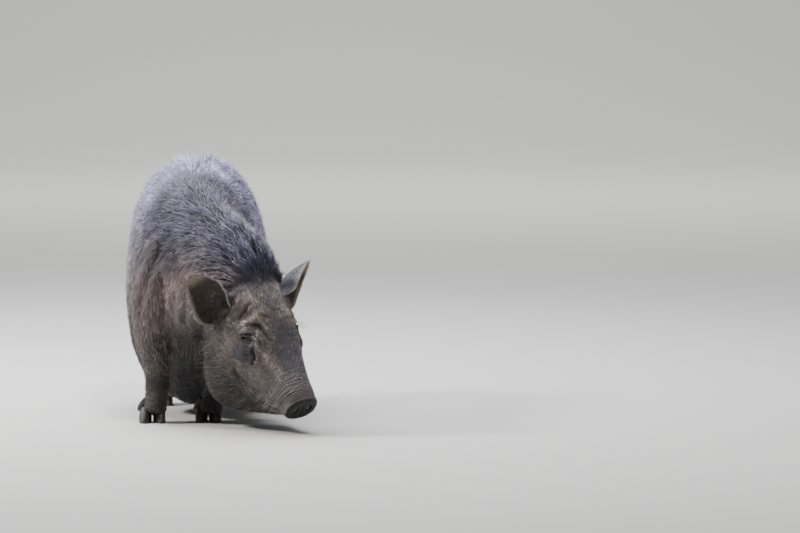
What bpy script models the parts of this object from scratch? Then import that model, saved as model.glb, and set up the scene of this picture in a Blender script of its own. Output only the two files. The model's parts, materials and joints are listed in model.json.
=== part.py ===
"""A pot bellied pig at life size, standing with its head down to graze. Metres, +Z up.

The pig faces -Y and its own left is +X. The floor is z = 0. The flesh is lofted from rings along the
trunk, the head and each leg, fused into one skin and then parted with thin cuts into named nodes. The
bristles of the back, the neck and the tail are flat, tapered locks set on that skin, each fused into the
node that it grows from.
"""

import math
import random

import bmesh
import bpy
import numpy as np
from mathutils import Matrix, Vector
from mathutils.bvhtree import BVHTree

# Driving dimensions
GAP = 0.0003  # between touching nodes
VOXEL = 0.006  # grain at which the lofts are fused
FLESH_TRIANGLES = 4200  # of the whole fused skin

# Trunk rings from tail to nape: x, y, z of the centre, half width, half height, lean towards the pig's
# left (deg), and how much narrower the back is than the belly
TRUNK_RINGS = (
    (0.029, 0.400, 0.345, 0.028, 0.038, 0, 0.00),  # buttock
    (0.029, 0.374, 0.332, 0.074, 0.094, 0, 0.00),
    (0.029, 0.318, 0.302, 0.104, 0.140, 0, 0.04),  # croup
    (0.029, 0.235, 0.281, 0.122, 0.174, 0, 0.06),  # hip
    (0.031, 0.145, 0.241, 0.130, 0.209, 1, 0.08),  # loin
    (0.033, 0.055, 0.223, 0.131, 0.208, 3, 0.12),  # pot belly
    (0.036, -0.025, 0.242, 0.121, 0.184, 6, 0.20),  # ribs
    (0.040, -0.092, 0.262, 0.105, 0.157, 9, 0.26),  # withers
    (0.056, -0.142, 0.262, 0.096, 0.133, 9, 0.22),  # shoulder
    (0.080, -0.180, 0.254, 0.086, 0.111, 7, 0.14),  # root of the neck
    (0.101, -0.206, 0.238, 0.078, 0.092, 4, 0.06),
    (0.118, -0.226, 0.218, 0.068, 0.074, 0, 0.00),  # nape
)
TRUNK_EXPONENT = 2.2
NECK_CUT = Vector((0.046, -0.170, 0.256))  # a point of the cut between trunk and neck
LEVEL_RINGS = (0.10, 0.20)  # rings stand upright behind the first, and square to the neck past the second

# Head frame: along the head, to the pig's left, and out of the forehead
HEAD_ORIGIN = Vector((0.114, -0.232, 0.236))
HEAD_YAW = math.radians(35)
HEAD_PITCH = math.radians(49)
HEAD_ROLL = math.radians(12)
HEAD_EXPONENT = 2.4
POLL_CUT = (-0.012, 0.0, 0.060)  # a point of the cut between neck and head
THROAT_SLANT = math.radians(17.7)
# Head rings: distance along, centre towards the forehead, half width, half height, narrowing upwards
HEAD_RINGS = (
    (-0.050, -0.020, 0.048, 0.050, 0.00),
    (-0.012, -0.024, 0.064, 0.072, 0.04),  # poll
    (0.030, -0.036, 0.072, 0.094, 0.08),  # forehead
    (0.070, -0.057, 0.078, 0.116, 0.20),  # jowl
    (0.110, -0.062, 0.074, 0.115, 0.21),  # cheek
    (0.145, -0.053, 0.058, 0.098, 0.14),
    (0.178, -0.036, 0.0455, 0.075, 0.06),  # corner of the mouth
    (0.208, -0.019, 0.0360, 0.056, 0.02),
    (0.236, -0.004, 0.0315, 0.038, 0.00),  # muzzle
    (0.262, 0.000, 0.0310, 0.034, 0.00),
)

# Leg rings, top down: sideways from the midline, y, z, half width, half length
FORELEG_RINGS = (
    (0.048, -0.078, 0.355, 0.026, 0.045),  # shoulder blade
    (0.074, -0.100, 0.275, 0.040, 0.066),  # point of the shoulder
    (0.083, -0.112, 0.205, 0.040, 0.060),  # upper arm
    (0.079, -0.108, 0.152, 0.033, 0.045),  # elbow
    (0.067, -0.112, 0.112, 0.0265, 0.032),  # forearm
    (0.057, -0.116, 0.082, 0.0240, 0.0260),  # knee
    (0.053, -0.119, 0.060, 0.0225, 0.0225),  # cannon
    (0.051, -0.125, 0.038, 0.0225, 0.0245),  # fetlock
    (0.050, -0.131, 0.018, 0.0210, 0.0250),  # foot
    (0.050, -0.134, -0.010, 0.0190, 0.0230),
)
HINDLEG_RINGS = (
    (0.055, 0.280, 0.360, 0.036, 0.062),  # hip
    (0.074, 0.265, 0.280, 0.048, 0.090),  # thigh
    (0.086, 0.226, 0.205, 0.044, 0.074),  # stifle
    (0.084, 0.246, 0.160, 0.033, 0.048),  # gaskin
    (0.076, 0.281, 0.120, 0.0230, 0.0310),  # hock
    (0.073, 0.270, 0.076, 0.0185, 0.0220),  # cannon
    (0.071, 0.258, 0.042, 0.0210, 0.0240),  # fetlock
    (0.070, 0.250, 0.018, 0.0205, 0.0250),  # foot
    (0.070, 0.246, -0.010, 0.0185, 0.0230),
)
SHOULDER_HEIGHT = 0.200  # above it the legs follow the trunk
SHOULDER_MIDLINE, FOREFOOT_MIDLINE = 0.038, -0.003  # the chest leans off its feet
HIND_MIDLINE = 0.030
# Each leg: rings, side (pig's left is +1), how far the foot is set back, and outwards
LEGS = {
    "foreleg_right": (FORELEG_RINGS, -1, 0.000, 0.000),
    "foreleg_left": (FORELEG_RINGS, 1, 0.012, 0.000),
    "hindleg_right": (HINDLEG_RINGS, -1, -0.040, 0.000),
    "hindleg_left": (HINDLEG_RINGS, 1, 0.022, 0.000),
}

# Where the legs part from the body
FORELEG_CUT, HINDLEG_CUT = 0.135, 0.152
LEG_MARGIN = 0.012
LEG_DOME = 0.020
LEG_SIDES = 14

# Feet: each claw is a wedge, seen from above set this far from the foot's middle and turned outwards
FOOT_END = 0.014  # the leg's flesh stops here, between the claws
CLAW_LENGTH, CLAW_WIDTH, CLAW_HEIGHT = 0.050, 0.0210, 0.029
CLAW_APART = 0.0142
CLAW_SPLAY = math.radians(7)
DEWCLAW_HEIGHT, DEWCLAW_APART, DEWCLAW_BACK = 0.040, 0.0150, 0.0190
DEWCLAW_LENGTH, DEWCLAW_RADIUS = 0.021, 0.0062

# Eyes, in the head frame: along, sideways and towards the forehead
EYE_RADIUS = 0.0105
EYE_PLACE = (0.1000, 0.0425, 0.0160)
LID_HALF = (0.0195, 0.0165, 0.0128)
EYE_SLANT = (0.75, -0.37, 0.55)  # from the outer corner to the inner one
EYE_OPENING = (0.0096, 0.0038)  # half width and half height between the lids

# Snout disc, mouth and lips, in the head frame
SNOUT_START, SNOUT_END = 0.236, 0.254
SNOUT_HALF = (0.0300, 0.0285)
SNOUT_CENTRE = -0.002
NOSTRIL_HALF = (0.0052, 0.0078)
NOSTRIL_APART = 0.0125
NOSTRIL_DEPTH = 0.011
MOUTH_PATH = ((0.158, -0.046), (0.178, -0.049), (0.200, -0.044), (0.219, -0.034), (0.229, -0.026))
MOUTH_GROOVE = 0.0017
LIP_RADIUS = 0.0036

# Ears, in the head frame: place of the root, way to the tip, and the way the cup opens
EAR_STANCE = {
    "right": ((0.0428, 0.0740, 0.0085), (-0.851, 0.376, 0.368), (0.465, 0.804, 0.371)),
    "left": ((0.0566, 0.0627, 0.0262), (-0.795, 0.598, 0.229), (0.672, 0.729, 0.131)),
}
EAR_LENGTH = 0.0985
EAR_HALF_WIDTH = 0.040
EAR_OUTLINE = ((0, 0.13, 0.38, 0.6, 0.8, 0.93, 1), (0.66, 0.92, 1.03, 0.92, 0.64, 0.36, 0.15))
EAR_CUP = ((0, 0.3, 0.55, 0.8, 1), (0.030, 0.034, 0.029, 0.014, 0.003))  # depth along the ear
EAR_BOW = 0.006  # how far the middle bows towards the poll
EAR_LOBE = {"right": -0.0095, "left": 0.0}  # how far the root's edge hangs outwards
EAR_LOBE_REACH = ((0, 0.10, 0.3, 0.65), (0.7, 1, 0.8, 0))  # its share along the ear
EAR_DIP = 0.022  # how far the root turns into the head
EAR_DIP_SHARE = 0.22  # the share of its length that turns
EAR_CURL = 0.004
EAR_SUNK = 0.006
EAR_THICKNESS = 0.0034

# Tail: points down its middle from the root, and radius at each
TAIL_PATH = (
    (0.029, 0.380, 0.362, 0.0105),
    (0.031, 0.412, 0.352, 0.0095),
    (0.036, 0.430, 0.325, 0.0080),
    (0.042, 0.436, 0.290, 0.0066),
    (0.044, 0.434, 0.255, 0.0056),
    (0.040, 0.430, 0.228, 0.0046),
    (0.034, 0.428, 0.208, 0.0034),
)

# Bristles: flat locks over the back and the neck, longest on the crest
LOCK_WIDTH = 0.019
LOCK_THICKNESS = 0.0036
LOCK_ROOT_DEPTH = 0.0070
CREST_LENGTH, FLANK_LENGTH = 0.060, 0.046
CREST_LIFT, FLANK_LIFT = 0.012, 0.007
LOCK_SHAPE = ((0.0, 0.45), (0.36, 1.0), (0.72, 0.62))  # share of the length and of the width
LOCK_RISE = (0.0, 0.40, 0.82, 1.0)  # share of the lift at each of them and at the point
LOCK_BEND = 0.007  # how far a point may swing sideways
TORSO_ROWS, NECK_ROWS = 10, 4
TORSO_STATIONS, NECK_STATIONS = (4, 33), (36, 43)  # along the trunk's smoothed rings, from the tail
LOCK_ANGLES = (0, 18, 38, 60)  # degrees down each side from the ridge
# Roots keep this far ahead of the cut behind the neck, behind the cut at the poll, and on the trunk far
# enough back for the neck's own locks to lie over the withers
NECK_ROOT_ROOM, POLL_ROOT_ROOM, TRUNK_ROOT_ROOM = 0.015, 0.008, 0.054
SLEEK_ANGLE = 60  # where the locks are as short and flat as on the flank
TAIL_LOCKS = 5
TAIL_LOCK_LENGTH = 0.050
TAIL_LOCK_WIDTH = 0.008

COLOURS = {
    "hide": ((0.045, 0.038, 0.036), 0.62),
    "snout": ((0.030, 0.024, 0.023), 0.40),
    "horn": ((0.040, 0.032, 0.028), 0.45),
    "eye": ((0.012, 0.008, 0.006), 0.08),
}


# ---------------------------------------------------------------- basic tools


def clear_scene():
    for obj in list(bpy.data.objects):
        bpy.data.objects.remove(obj)


def material(name):
    found = bpy.data.materials.get(name)
    if found:
        return found
    (red, green, blue), roughness = COLOURS[name]
    made = bpy.data.materials.new(name)
    made.use_nodes = True
    shader = made.node_tree.nodes["Principled BSDF"]
    shader.inputs["Base Color"].default_value = (red, green, blue, 1)
    shader.inputs["Roughness"].default_value = roughness
    shader.inputs["Metallic"].default_value = 0
    return made


def halved(faces):
    """Each four-sided face as two triangles, split the same way on a body and on its pocket."""
    out = []
    for face in faces:
        if len(face) == 4:
            out += [(face[0], face[1], face[2]), (face[0], face[2], face[3])]
        else:
            out.append(face)
    return out


def new_object(name, points, faces, finish="hide"):
    mesh = bpy.data.meshes.new(name)
    mesh.from_pydata([tuple(p) for p in points], [], halved(faces))
    mesh.materials.append(material(finish))
    obj = bpy.data.objects.new(name, mesh)
    bpy.context.scene.collection.objects.link(obj)
    turn_outwards(obj)
    return obj


def turn_outwards(obj):
    work = bmesh.new()
    work.from_mesh(obj.data)
    bmesh.ops.recalc_face_normals(work, faces=work.faces)
    if work.calc_volume(signed=True) < 0:
        bmesh.ops.reverse_faces(work, faces=work.faces)
    work.to_mesh(obj.data)
    work.free()


def copy_of(obj, name):
    twin = obj.copy()
    twin.data = obj.data.copy()
    twin.name = name
    bpy.context.scene.collection.objects.link(twin)
    return twin


def remove(*objects):
    for obj in objects:
        bpy.data.objects.remove(obj)


def apply_modifiers(obj):
    graph = bpy.context.evaluated_depsgraph_get()
    mesh = bpy.data.meshes.new_from_object(obj.evaluated_get(graph))
    obj.modifiers.clear()
    obj.data = mesh


def boolean(obj, other, operation, solver="EXACT"):
    """Cuts or joins obj with an object or a whole collection, and applies it."""
    modifier = obj.modifiers.new(operation, "BOOLEAN")
    modifier.operation = operation
    modifier.solver = solver
    if isinstance(other, bpy.types.Collection):
        modifier.operand_type = "COLLECTION"
        modifier.collection = other
    else:
        modifier.object = other
    apply_modifiers(obj)


def keep_largest(obj):
    """Leaves the largest closed surface of a node."""
    work = bmesh.new()
    work.from_mesh(obj.data)
    work.faces.ensure_lookup_table()
    seen = set()
    islands = []
    for face in work.faces:
        if face.index in seen:
            continue
        stack, island = [face], []
        seen.add(face.index)
        while stack:
            here = stack.pop()
            island.append(here)
            for edge in here.edges:
                for beside in edge.link_faces:
                    if beside.index not in seen:
                        seen.add(beside.index)
                        stack.append(beside)
        islands.append(island)
    islands.sort(key=len)
    loose = [face for island in islands[:-1] for face in island]
    bmesh.ops.delete(work, geom=loose, context="FACES")
    bmesh.ops.triangulate(work, faces=work.faces)
    work.to_mesh(obj.data)
    work.free()


def swollen(obj, name, by):
    """A copy of obj whose surface is moved out by this much."""
    twin = copy_of(obj, name)
    work = bmesh.new()
    work.from_mesh(twin.data)
    work.normal_update()
    moved = [(v, v.co + v.normal * by * v.calc_shell_factor()) for v in work.verts]
    for vert, place in moved:
        vert.co = place
    work.to_mesh(twin.data)
    work.free()
    return twin


def cut_clear(obj, *others, by=GAP):
    """Cuts obj back from the others, leaving the gap."""
    for other in others:
        cutter = swollen(other, "cutter", by)
        boolean(obj, cutter, "DIFFERENCE")
        remove(cutter)
    keep_largest(obj)


# ---------------------------------------------------------------- lofts


def smooth_rows(rows, steps):
    """Rows of numbers read along a Catmull-Rom curve, with this many steps between two of them."""
    rows = np.array(rows, float)
    ends = np.vstack([2 * rows[0] - rows[1], rows, 2 * rows[-1] - rows[-2]])
    out = []
    for i in range(1, len(ends) - 2):
        a, b, c, d = ends[i - 1 : i + 3]
        slope, square, cube = c - a, 2 * a - 5 * b + 4 * c - d, 3 * b - a - 3 * c + d
        for t in np.arange(steps) / steps:
            out.append(0.5 * (2 * b + slope * t + square * t**2 + cube * t**3))
    return np.array(out + [rows[-1]])


def superellipse(angle, exponent):
    """A point of the unit superellipse: sideways and upwards."""
    across, up = math.sin(angle), math.cos(angle)
    share = 2 / exponent
    return math.copysign(abs(across) ** share, across), math.copysign(abs(up) ** share, up)


def ways_of(centres):
    """The path's direction at each ring."""
    last = len(centres) - 1
    return [Vector(centres[min(i + 1, last)]) - Vector(centres[max(i - 1, 0)]) for i in range(last + 1)]


def ring_frame(along, up_hint, lean=0.0):
    """Sideways and upward directions of a ring, square to the path."""
    up = (up_hint - along * up_hint.dot(along)).normalized()
    side = up.cross(along)
    turn = Matrix.Rotation(lean, 3, along)
    return turn @ side, turn @ up


def loft(
    name, centres, halves, up_hint, sides, leans=None, exponent=2.0, tapers=None, ways=None, finish="hide"
):
    """A closed body through rings: centre, half across and half up, lean, and narrowing upwards of each."""
    points = []
    ways = [way.normalized() for way in ways or ways_of(centres)]
    for i, centre in enumerate(centres):
        side, up = ring_frame(ways[i], up_hint, leans[i] if leans is not None else 0.0)
        for k in range(sides):
            across, rise = superellipse(2 * math.pi * k / sides, exponent)
            across *= 1 - rise * (tapers[i] if tapers is not None else 0.0)
            points.append(Vector(centre) + side * across * halves[i][0] + up * rise * halves[i][1])
    faces = []
    for i in range(len(centres) - 1):
        for k in range(sides):
            here, there = i * sides + k, i * sides + (k + 1) % sides
            faces.append((here, there, there + sides, here + sides))
    faces.append(tuple(range(sides)))
    last = (len(centres) - 1) * sides
    faces.append(tuple(range(last, last + sides)))
    return new_object(name, points, faces, finish)


def head_axes():
    """Along the head to the snout, to the pig's left, and out of the forehead."""
    ahead = Vector((math.sin(HEAD_YAW), -math.cos(HEAD_YAW), 0))
    down = Vector((0, 0, -1))
    along = ahead * math.cos(HEAD_PITCH) + down * math.sin(HEAD_PITCH)
    left = Vector((math.cos(HEAD_YAW), math.sin(HEAD_YAW), 0))
    out = along.cross(left)
    rolled = left * math.cos(HEAD_ROLL) + out * math.sin(HEAD_ROLL)
    return along, rolled, out * math.cos(HEAD_ROLL) - left * math.sin(HEAD_ROLL)


def head_point(along, left, out):
    """A point of the head frame, in metres from its origin."""
    axes = head_axes()
    return HEAD_ORIGIN + axes[0] * along + axes[1] * left + axes[2] * out


def head_way(along, left, out):
    axes = head_axes()
    return (axes[0] * along + axes[1] * left + axes[2] * out).normalized()


def trunk_ways(rows):
    """The trunk's direction at each ring, without its rise where the rings stand upright."""
    ways = ways_of(rows[:, :3])
    for way, slope in zip(ways, np.interp(-rows[:, 1], LEVEL_RINGS, (0, 1))):
        way.z *= slope
    return ways


def trunk():
    rows = smooth_rows(TRUNK_RINGS, 4)
    centres, halves, leans = rows[:, :3], rows[:, 3:5], np.radians(rows[:, 5])
    up = Vector((0, 0, 1))
    return loft("trunk", centres, halves, up, 36, leans, TRUNK_EXPONENT, rows[:, 6], trunk_ways(rows))


def head_form():
    rows = smooth_rows(HEAD_RINGS, 4)
    centres = [head_point(row[0], 0, row[1]) for row in rows]
    along, _, out = head_axes()
    ways = [along] * len(centres)
    return loft("head_form", centres, rows[:, 2:4], out, 28, None, HEAD_EXPONENT, rows[:, 4], ways)


def leg_rows(rings, side, back, out):
    """Rings of one leg: the foot's offsets fade out towards the top."""
    rows = []
    for sideways, y, z, across, length in smooth_rows(rings, 4):
        low = min(1.0, max(0.0, 1 - z / SHOULDER_HEIGHT))
        midline = HIND_MIDLINE
        if rings is FORELEG_RINGS:
            midline = SHOULDER_MIDLINE + (FOREFOOT_MIDLINE - SHOULDER_MIDLINE) * low
        x = midline + side * (sideways + out * low)
        rows.append((x, y + back * low, z, across, length))
    return np.array(rows)


def leg_form(name):
    rows = leg_rows(*LEGS[name])
    return loft(name + "_form", rows[:, :3], rows[:, 3:5], Vector((0, -1, 0)), 20)


def fused_flesh():
    """Trunk, head and legs as one skin of even, few triangles."""
    forms = [trunk(), head_form(), *(leg_form(name) for name in LEGS)]
    whole = forms[0]
    whole.name = "flesh"
    with bpy.context.temp_override(
        active_object=whole, object=whole, selected_objects=forms, selected_editable_objects=forms
    ):
        bpy.ops.object.join()
    fuse = whole.modifiers.new("fuse", "REMESH")
    fuse.mode = "VOXEL"
    fuse.voxel_size = VOXEL
    soften = whole.modifiers.new("soften", "SMOOTH")
    soften.factor = 0.5
    soften.iterations = 8
    thin = whole.modifiers.new("thin", "DECIMATE")
    apply_modifiers_until_thin(whole, thin)
    return whole


def apply_modifiers_until_thin(obj, thin):
    """Sets the Decimate ratio from the fused skin's own triangle count."""
    thin.show_viewport = False
    graph = bpy.context.evaluated_depsgraph_get()
    dense = sum(len(p.vertices) - 2 for p in obj.evaluated_get(graph).data.polygons)
    thin.show_viewport = True
    thin.ratio = FLESH_TRIANGLES / dense
    apply_modifiers(obj)


# ---------------------------------------------------------------- cutters


def block(name, axes, origin, low, high, grow=0.0):
    """A box in the frame of these three axes, swollen by grow."""
    corners = []
    for a in (low[0] - grow, high[0] + grow):
        for b in (low[1] - grow, high[1] + grow):
            for c in (low[2] - grow, high[2] + grow):
                corners.append(origin + axes[0] * a + axes[1] * b + axes[2] * c)
    faces = [(0, 1, 3, 2), (4, 6, 7, 5), (0, 4, 5, 1), (2, 3, 7, 6), (0, 2, 6, 4), (1, 5, 7, 3)]
    return new_object(name, corners, faces)


def head_block(name, grow=0.0):
    """Round the head: its back face runs from the poll down to the throat, ahead of the forelegs."""
    along, left, out = head_axes()
    ahead = along * math.cos(THROAT_SLANT) + out * math.sin(THROAT_SLANT)
    axes = (ahead, left, out * math.cos(THROAT_SLANT) - along * math.sin(THROAT_SLANT))
    return block(name, axes, head_point(*POLL_CUT), (0.0, -0.20, -0.28), (0.40, 0.20, 0.20), grow)


def neck_axes():
    ahead = Vector((0.50, -0.84, -0.18)).normalized()
    left = Vector((0, 0, 1)).cross(ahead).normalized()
    return ahead, left, ahead.cross(left)


def ahead_of_neck_cut(point):
    return neck_axes()[0].dot(point - NECK_CUT)


def ahead_of_poll_cut(point):
    along, _, out = head_axes()
    ahead = along * math.cos(THROAT_SLANT) + out * math.sin(THROAT_SLANT)
    return ahead.dot(point - head_point(*POLL_CUT))


def grows_on_trunk(point):
    return ahead_of_neck_cut(point) < -TRUNK_ROOT_ROOM


def grows_on_neck(point):
    return ahead_of_neck_cut(point) > NECK_ROOT_ROOM and ahead_of_poll_cut(point) < -POLL_ROOT_ROOM


def neck_block(name, grow=0.0):
    return block(name, neck_axes(), NECK_CUT, (0.0, -0.22, -0.145), (0.30, 0.22, 0.22), grow)


def leg_cutter(name, leg, grow=0.0):
    """A domed sleeve of level rings round the leg, from inside the body down past the foot."""
    rings, side, back, out = LEGS[leg]
    rows = leg_rows(rings, side, back, out)
    top = FORELEG_CUT if rings is FORELEG_RINGS else HINDLEG_CUT
    rows = rows[rows[:, 2] < top]
    halves = rows[:, 3:5] + (LEG_MARGIN + grow)
    levels = [(row[0], row[1], row[2], half) for row, half in zip(rows, halves)]
    dome = []
    for angle in np.radians((75, 50, 25)):
        rise = math.sin(angle) * (LEG_DOME + grow)
        dome.append((rows[0][0], rows[0][1], rows[0][2] + rise, halves[0] * math.cos(angle)))
    foot = levels[-1]
    levels = dome + levels + [(foot[0], foot[1], foot[2] - 0.03 - grow, foot[3])]
    return stack_of_rings(name, levels, LEG_SIDES)


def stack_of_rings(name, levels, sides):
    """A closed body of level ellipses: x, y, z and (half width, half length) of each."""
    points = []
    for x, y, z, half in levels:
        for k in range(sides):
            angle = 2 * math.pi * k / sides
            points.append((x + half[0] * math.cos(angle), y + half[1] * math.sin(angle), z))
    faces = []
    for i in range(len(levels) - 1):
        for k in range(sides):
            here, there = i * sides + k, i * sides + (k + 1) % sides
            faces.append((here, there, there + sides, here + sides))
    last = (len(levels) - 1) * sides
    faces += [tuple(range(sides)), tuple(range(last, last + sides))]
    return new_object(name, points, faces)


def part_flesh(whole):
    """Parts the fused skin: each cutter takes its node, and the rest goes on without it."""
    nodes = {}
    rest = whole
    cutters = {"head": head_block, "neck": neck_block}
    for name, make in cutters.items():
        nodes[name] = copy_of(rest, name)
        take(nodes[name], make("cutter"))
        leave(rest, make("cutter", GAP))
    for name in LEGS:
        nodes[name] = copy_of(rest, name)
        take(nodes[name], leg_cutter("cutter", name))
        leave(rest, leg_cutter("cutter", name, GAP))
    rest.name = "torso"
    nodes["torso"] = rest
    return nodes


def take(obj, cutter):
    boolean(obj, cutter, "INTERSECT")
    remove(cutter)
    keep_largest(obj)


def leave(obj, cutter):
    boolean(obj, cutter, "DIFFERENCE")
    remove(cutter)
    keep_largest(obj)


# ---------------------------------------------------------------- face


def ball(name, centre, radius, rings, sides, finish="hide", shape=Matrix.Identity(4)):
    """A ball, stretched by the shape."""
    mesh = bpy.data.meshes.new(name)
    work = bmesh.new()
    place = Matrix.Translation(centre) @ shape
    bmesh.ops.create_uvsphere(work, u_segments=sides, v_segments=rings, radius=radius, matrix=place)
    work.to_mesh(mesh)
    work.free()
    mesh.materials.append(material(finish))
    obj = bpy.data.objects.new(name, mesh)
    bpy.context.scene.collection.objects.link(obj)
    return obj


def eye_centre(side):
    along, sideways, out = EYE_PLACE
    return head_point(along, side * sideways, out)


def eye_axes(side):
    """Along the slit, across it, and out between the lids."""
    along, left, out = head_axes()
    facing = (along * 0.28 + left * side * 0.86 + out * 0.42).normalized()
    slant = along * EYE_SLANT[0] + left * side * EYE_SLANT[1] + out * EYE_SLANT[2]
    long_way = (slant - facing * slant.dot(facing)).normalized()
    return long_way, facing.cross(long_way), facing


def add_eye(head, name, side):
    """Lids swell from the head, are hollowed for the eyeball and slit open. Returns the eyeball."""
    centre, axes = eye_centre(side), eye_axes(side)
    lids = ball("lids", centre, 1.0, 10, 16, shape=lid_shape(axes))
    boolean(head, lids, "UNION")
    hollow = ball("hollow", centre, EYE_RADIUS + GAP, 10, 16)
    boolean(head, hollow, "DIFFERENCE")
    slit = eye_slit("slit", centre, axes)
    boolean(head, slit, "DIFFERENCE")
    remove(lids, hollow, slit)
    return ball(name, centre, EYE_RADIUS, 10, 16, "eye")


def lid_shape(axes):
    """Three half sizes of the swelling that holds the eye: along the slit, across it and out of it."""
    sides = [axis * half for axis, half in zip(axes, LID_HALF)]
    return Matrix([[side[i] for side in sides] for i in range(3)]).to_4x4()


def eye_slit(name, centre, axes):
    """An almond prism that opens the lids."""
    long_way, short_way, facing = axes
    points, count = [], 14
    for reach in (EYE_RADIUS * 0.45, EYE_RADIUS * 2.2):
        for k in range(count):
            angle = 2 * math.pi * k / count
            across = math.cos(angle) * EYE_OPENING[0]
            rise = math.sin(angle) * EYE_OPENING[1] * (1 - 0.35 * abs(math.cos(angle)))
            points.append(centre + facing * reach + long_way * across + short_way * rise)
    faces = [tuple(range(count)), tuple(range(count, 2 * count))]
    for k in range(count):
        there = (k + 1) % count
        faces.append((k, there, there + count, k + count))
    return new_object(name, points, faces)


def surface_tree(obj):
    return BVHTree.FromPolygons([v.co for v in obj.data.vertices], [p.vertices for p in obj.data.polygons])


def tube(name, centres, radii, sides, up_hint, finish="hide"):
    halves = [(radius, radius) for radius in radii]
    return loft(name, centres, halves, up_hint, sides, finish=finish)


def mouth_line(tree, side, shift, reach):
    """Points on the muzzle's side along the mouth, moved by this much towards the forehead."""
    line = []
    for along, out in smooth_rows(MOUTH_PATH, 2):
        start = head_point(along, 0, out + shift)
        outwards = head_axes()[1] * side
        spot = tree.ray_cast(start, outwards)[0]
        line.append(spot + outwards * reach)
    return line


def add_mouth(head):
    """Two soft lips along each side of the muzzle, and the groove of the mouth between them."""
    tree = surface_tree(head)
    out = head_axes()[2]
    lips = bpy.data.collections.new("lips")
    for side in (-1, 1):
        for shift in (LIP_RADIUS, -LIP_RADIUS):
            line = mouth_line(tree, side, shift, -LIP_RADIUS * 0.45)
            steps = np.linspace(0, 1, len(line))
            radii = np.interp(steps, (0, 0.15, 0.8, 1), (0.5, 1, 1, 0.6)) * LIP_RADIUS
            lip = tube("lip", line, radii, 6, out)
            bpy.context.scene.collection.objects.unlink(lip)
            lips.objects.link(lip)
    boolean(head, lips, "UNION")
    remove(*lips.objects)
    bpy.data.collections.remove(lips)
    for side in (-1, 1):
        line = mouth_line(tree, side, 0.0, 0.0006)
        groove = tube("groove", line, [MOUTH_GROOVE] * len(line), 6, out)
        boolean(head, groove, "DIFFERENCE")
        remove(groove)


def snout_disc():
    """The flat disc of the snout with a soft rim and two nostrils."""
    along, left, out = head_axes()
    stations = ((0.0, 0.94), (0.25, 1.02), (0.6, 1.04), (0.88, 0.98), (1.0, 0.88))
    start = SNOUT_START + GAP
    centres, halves = [], []
    for share, size in stations:
        centres.append(head_point(start + (SNOUT_END - start) * share, 0, SNOUT_CENTRE))
        halves.append((SNOUT_HALF[0] * size, SNOUT_HALF[1] * size))
    disc = loft("snout", centres, halves, out, 28, exponent=2.3, finish="snout")
    for side in (-1, 1):
        nostril = [
            head_point(SNOUT_END - NOSTRIL_DEPTH, side * NOSTRIL_APART * 0.8, SNOUT_CENTRE + 0.001),
            head_point(SNOUT_END - NOSTRIL_DEPTH * 0.5, side * NOSTRIL_APART, SNOUT_CENTRE),
            head_point(SNOUT_END + 0.004, side * NOSTRIL_APART, SNOUT_CENTRE),
        ]
        sizes = [(NOSTRIL_HALF[0] * k, NOSTRIL_HALF[1] * k) for k in (0.6, 0.85, 1.1)]
        hole = loft("nostril", nostril, sizes, out, 12)
        boolean(disc, hole, "DIFFERENCE")
        remove(hole)
    return disc


# ---------------------------------------------------------------- ears, tail, feet


def ear_bow(word, t):
    """How far the middle of the ear lies to one side, by the share of the way to the tip."""
    lobe = EAR_LOBE[word] * float(np.interp(t, *EAR_LOBE_REACH))
    return EAR_BOW * math.sin(math.pi * t) + lobe


def ear(name, side, grow=0.0):
    """A pointed cup: front and back skins a little apart, the root sunk in the head."""
    word = "right" if side < 0 else "left"
    place, *ways = EAR_STANCE[word]
    way, facing = (head_way(along, side * left, out) for along, left, out in ways)
    facing = (facing - way * facing.dot(way)).normalized()
    across = facing.cross(way) * side
    root = head_point(place[0], side * place[1], place[2]) - way * (EAR_SUNK + grow)
    rows, columns = 10, 8
    points = []
    for skin in (1, -1):
        for i in range(rows + 1):
            t = i / rows
            width = EAR_HALF_WIDTH * float(np.interp(t, *EAR_OUTLINE))
            cup = float(np.interp(t, *EAR_CUP))
            spine = root + way * (EAR_LENGTH + 2 * grow) * t + across * ear_bow(word, t)
            spine += facing * (EAR_CURL * t * t - EAR_DIP * max(0, 1 - t / EAR_DIP_SHARE) ** 2)
            for k in range(columns + 1):
                s = 2 * k / columns - 1
                place = spine + across * (width + grow) * s + facing * cup * (s * s - 1)
                inwards = (facing - across * 2 * cup * s / width).normalized()
                half = EAR_THICKNESS * 0.5 * (1 - 0.35 * t) * (1 - 0.45 * s * s) + 1.5 * grow
                points.append(place + inwards * skin * half)
    return new_object(name, points, shell_faces(rows, columns))


def shell_faces(rows, columns):
    """Faces of two grids set back to back and closed along their edges."""
    wide, layer = columns + 1, (rows + 1) * (columns + 1)
    faces = []
    for i in range(rows):
        for k in range(columns):
            a = i * wide + k
            faces.append((a, a + 1, a + 1 + wide, a + wide))
            faces.append(tuple(layer + p for p in (a, a + wide, a + 1 + wide, a + 1)))
    edge = list(range(columns))
    edge += [i * wide + columns for i in range(rows)]
    edge += [rows * wide + k for k in range(columns, 0, -1)]
    edge += [i * wide for i in range(rows, 0, -1)]
    for here, there in zip(edge, edge[1:] + edge[:1]):
        faces.append((here, layer + here, layer + there, there))
    return faces


def tail(name, grow=0.0):
    rows = smooth_rows(TAIL_PATH, 2)
    centres = [Vector(row[:3]) for row in rows]
    centres[0] -= (centres[1] - centres[0]).normalized() * grow
    centres[-1] += (centres[-1] - centres[-2]).normalized() * grow
    return tube(name, centres, rows[:, 3] + grow, 8, Vector((1, 0, 0)))


def foot_middle(leg):
    """Where the leg's middle meets the floor."""
    rows = leg_rows(*LEGS[leg])
    order = np.argsort(rows[:, 2])
    x, y, z = rows[order, :3].T
    return Vector((np.interp(0, z, x), np.interp(0, z, y), 0))


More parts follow.
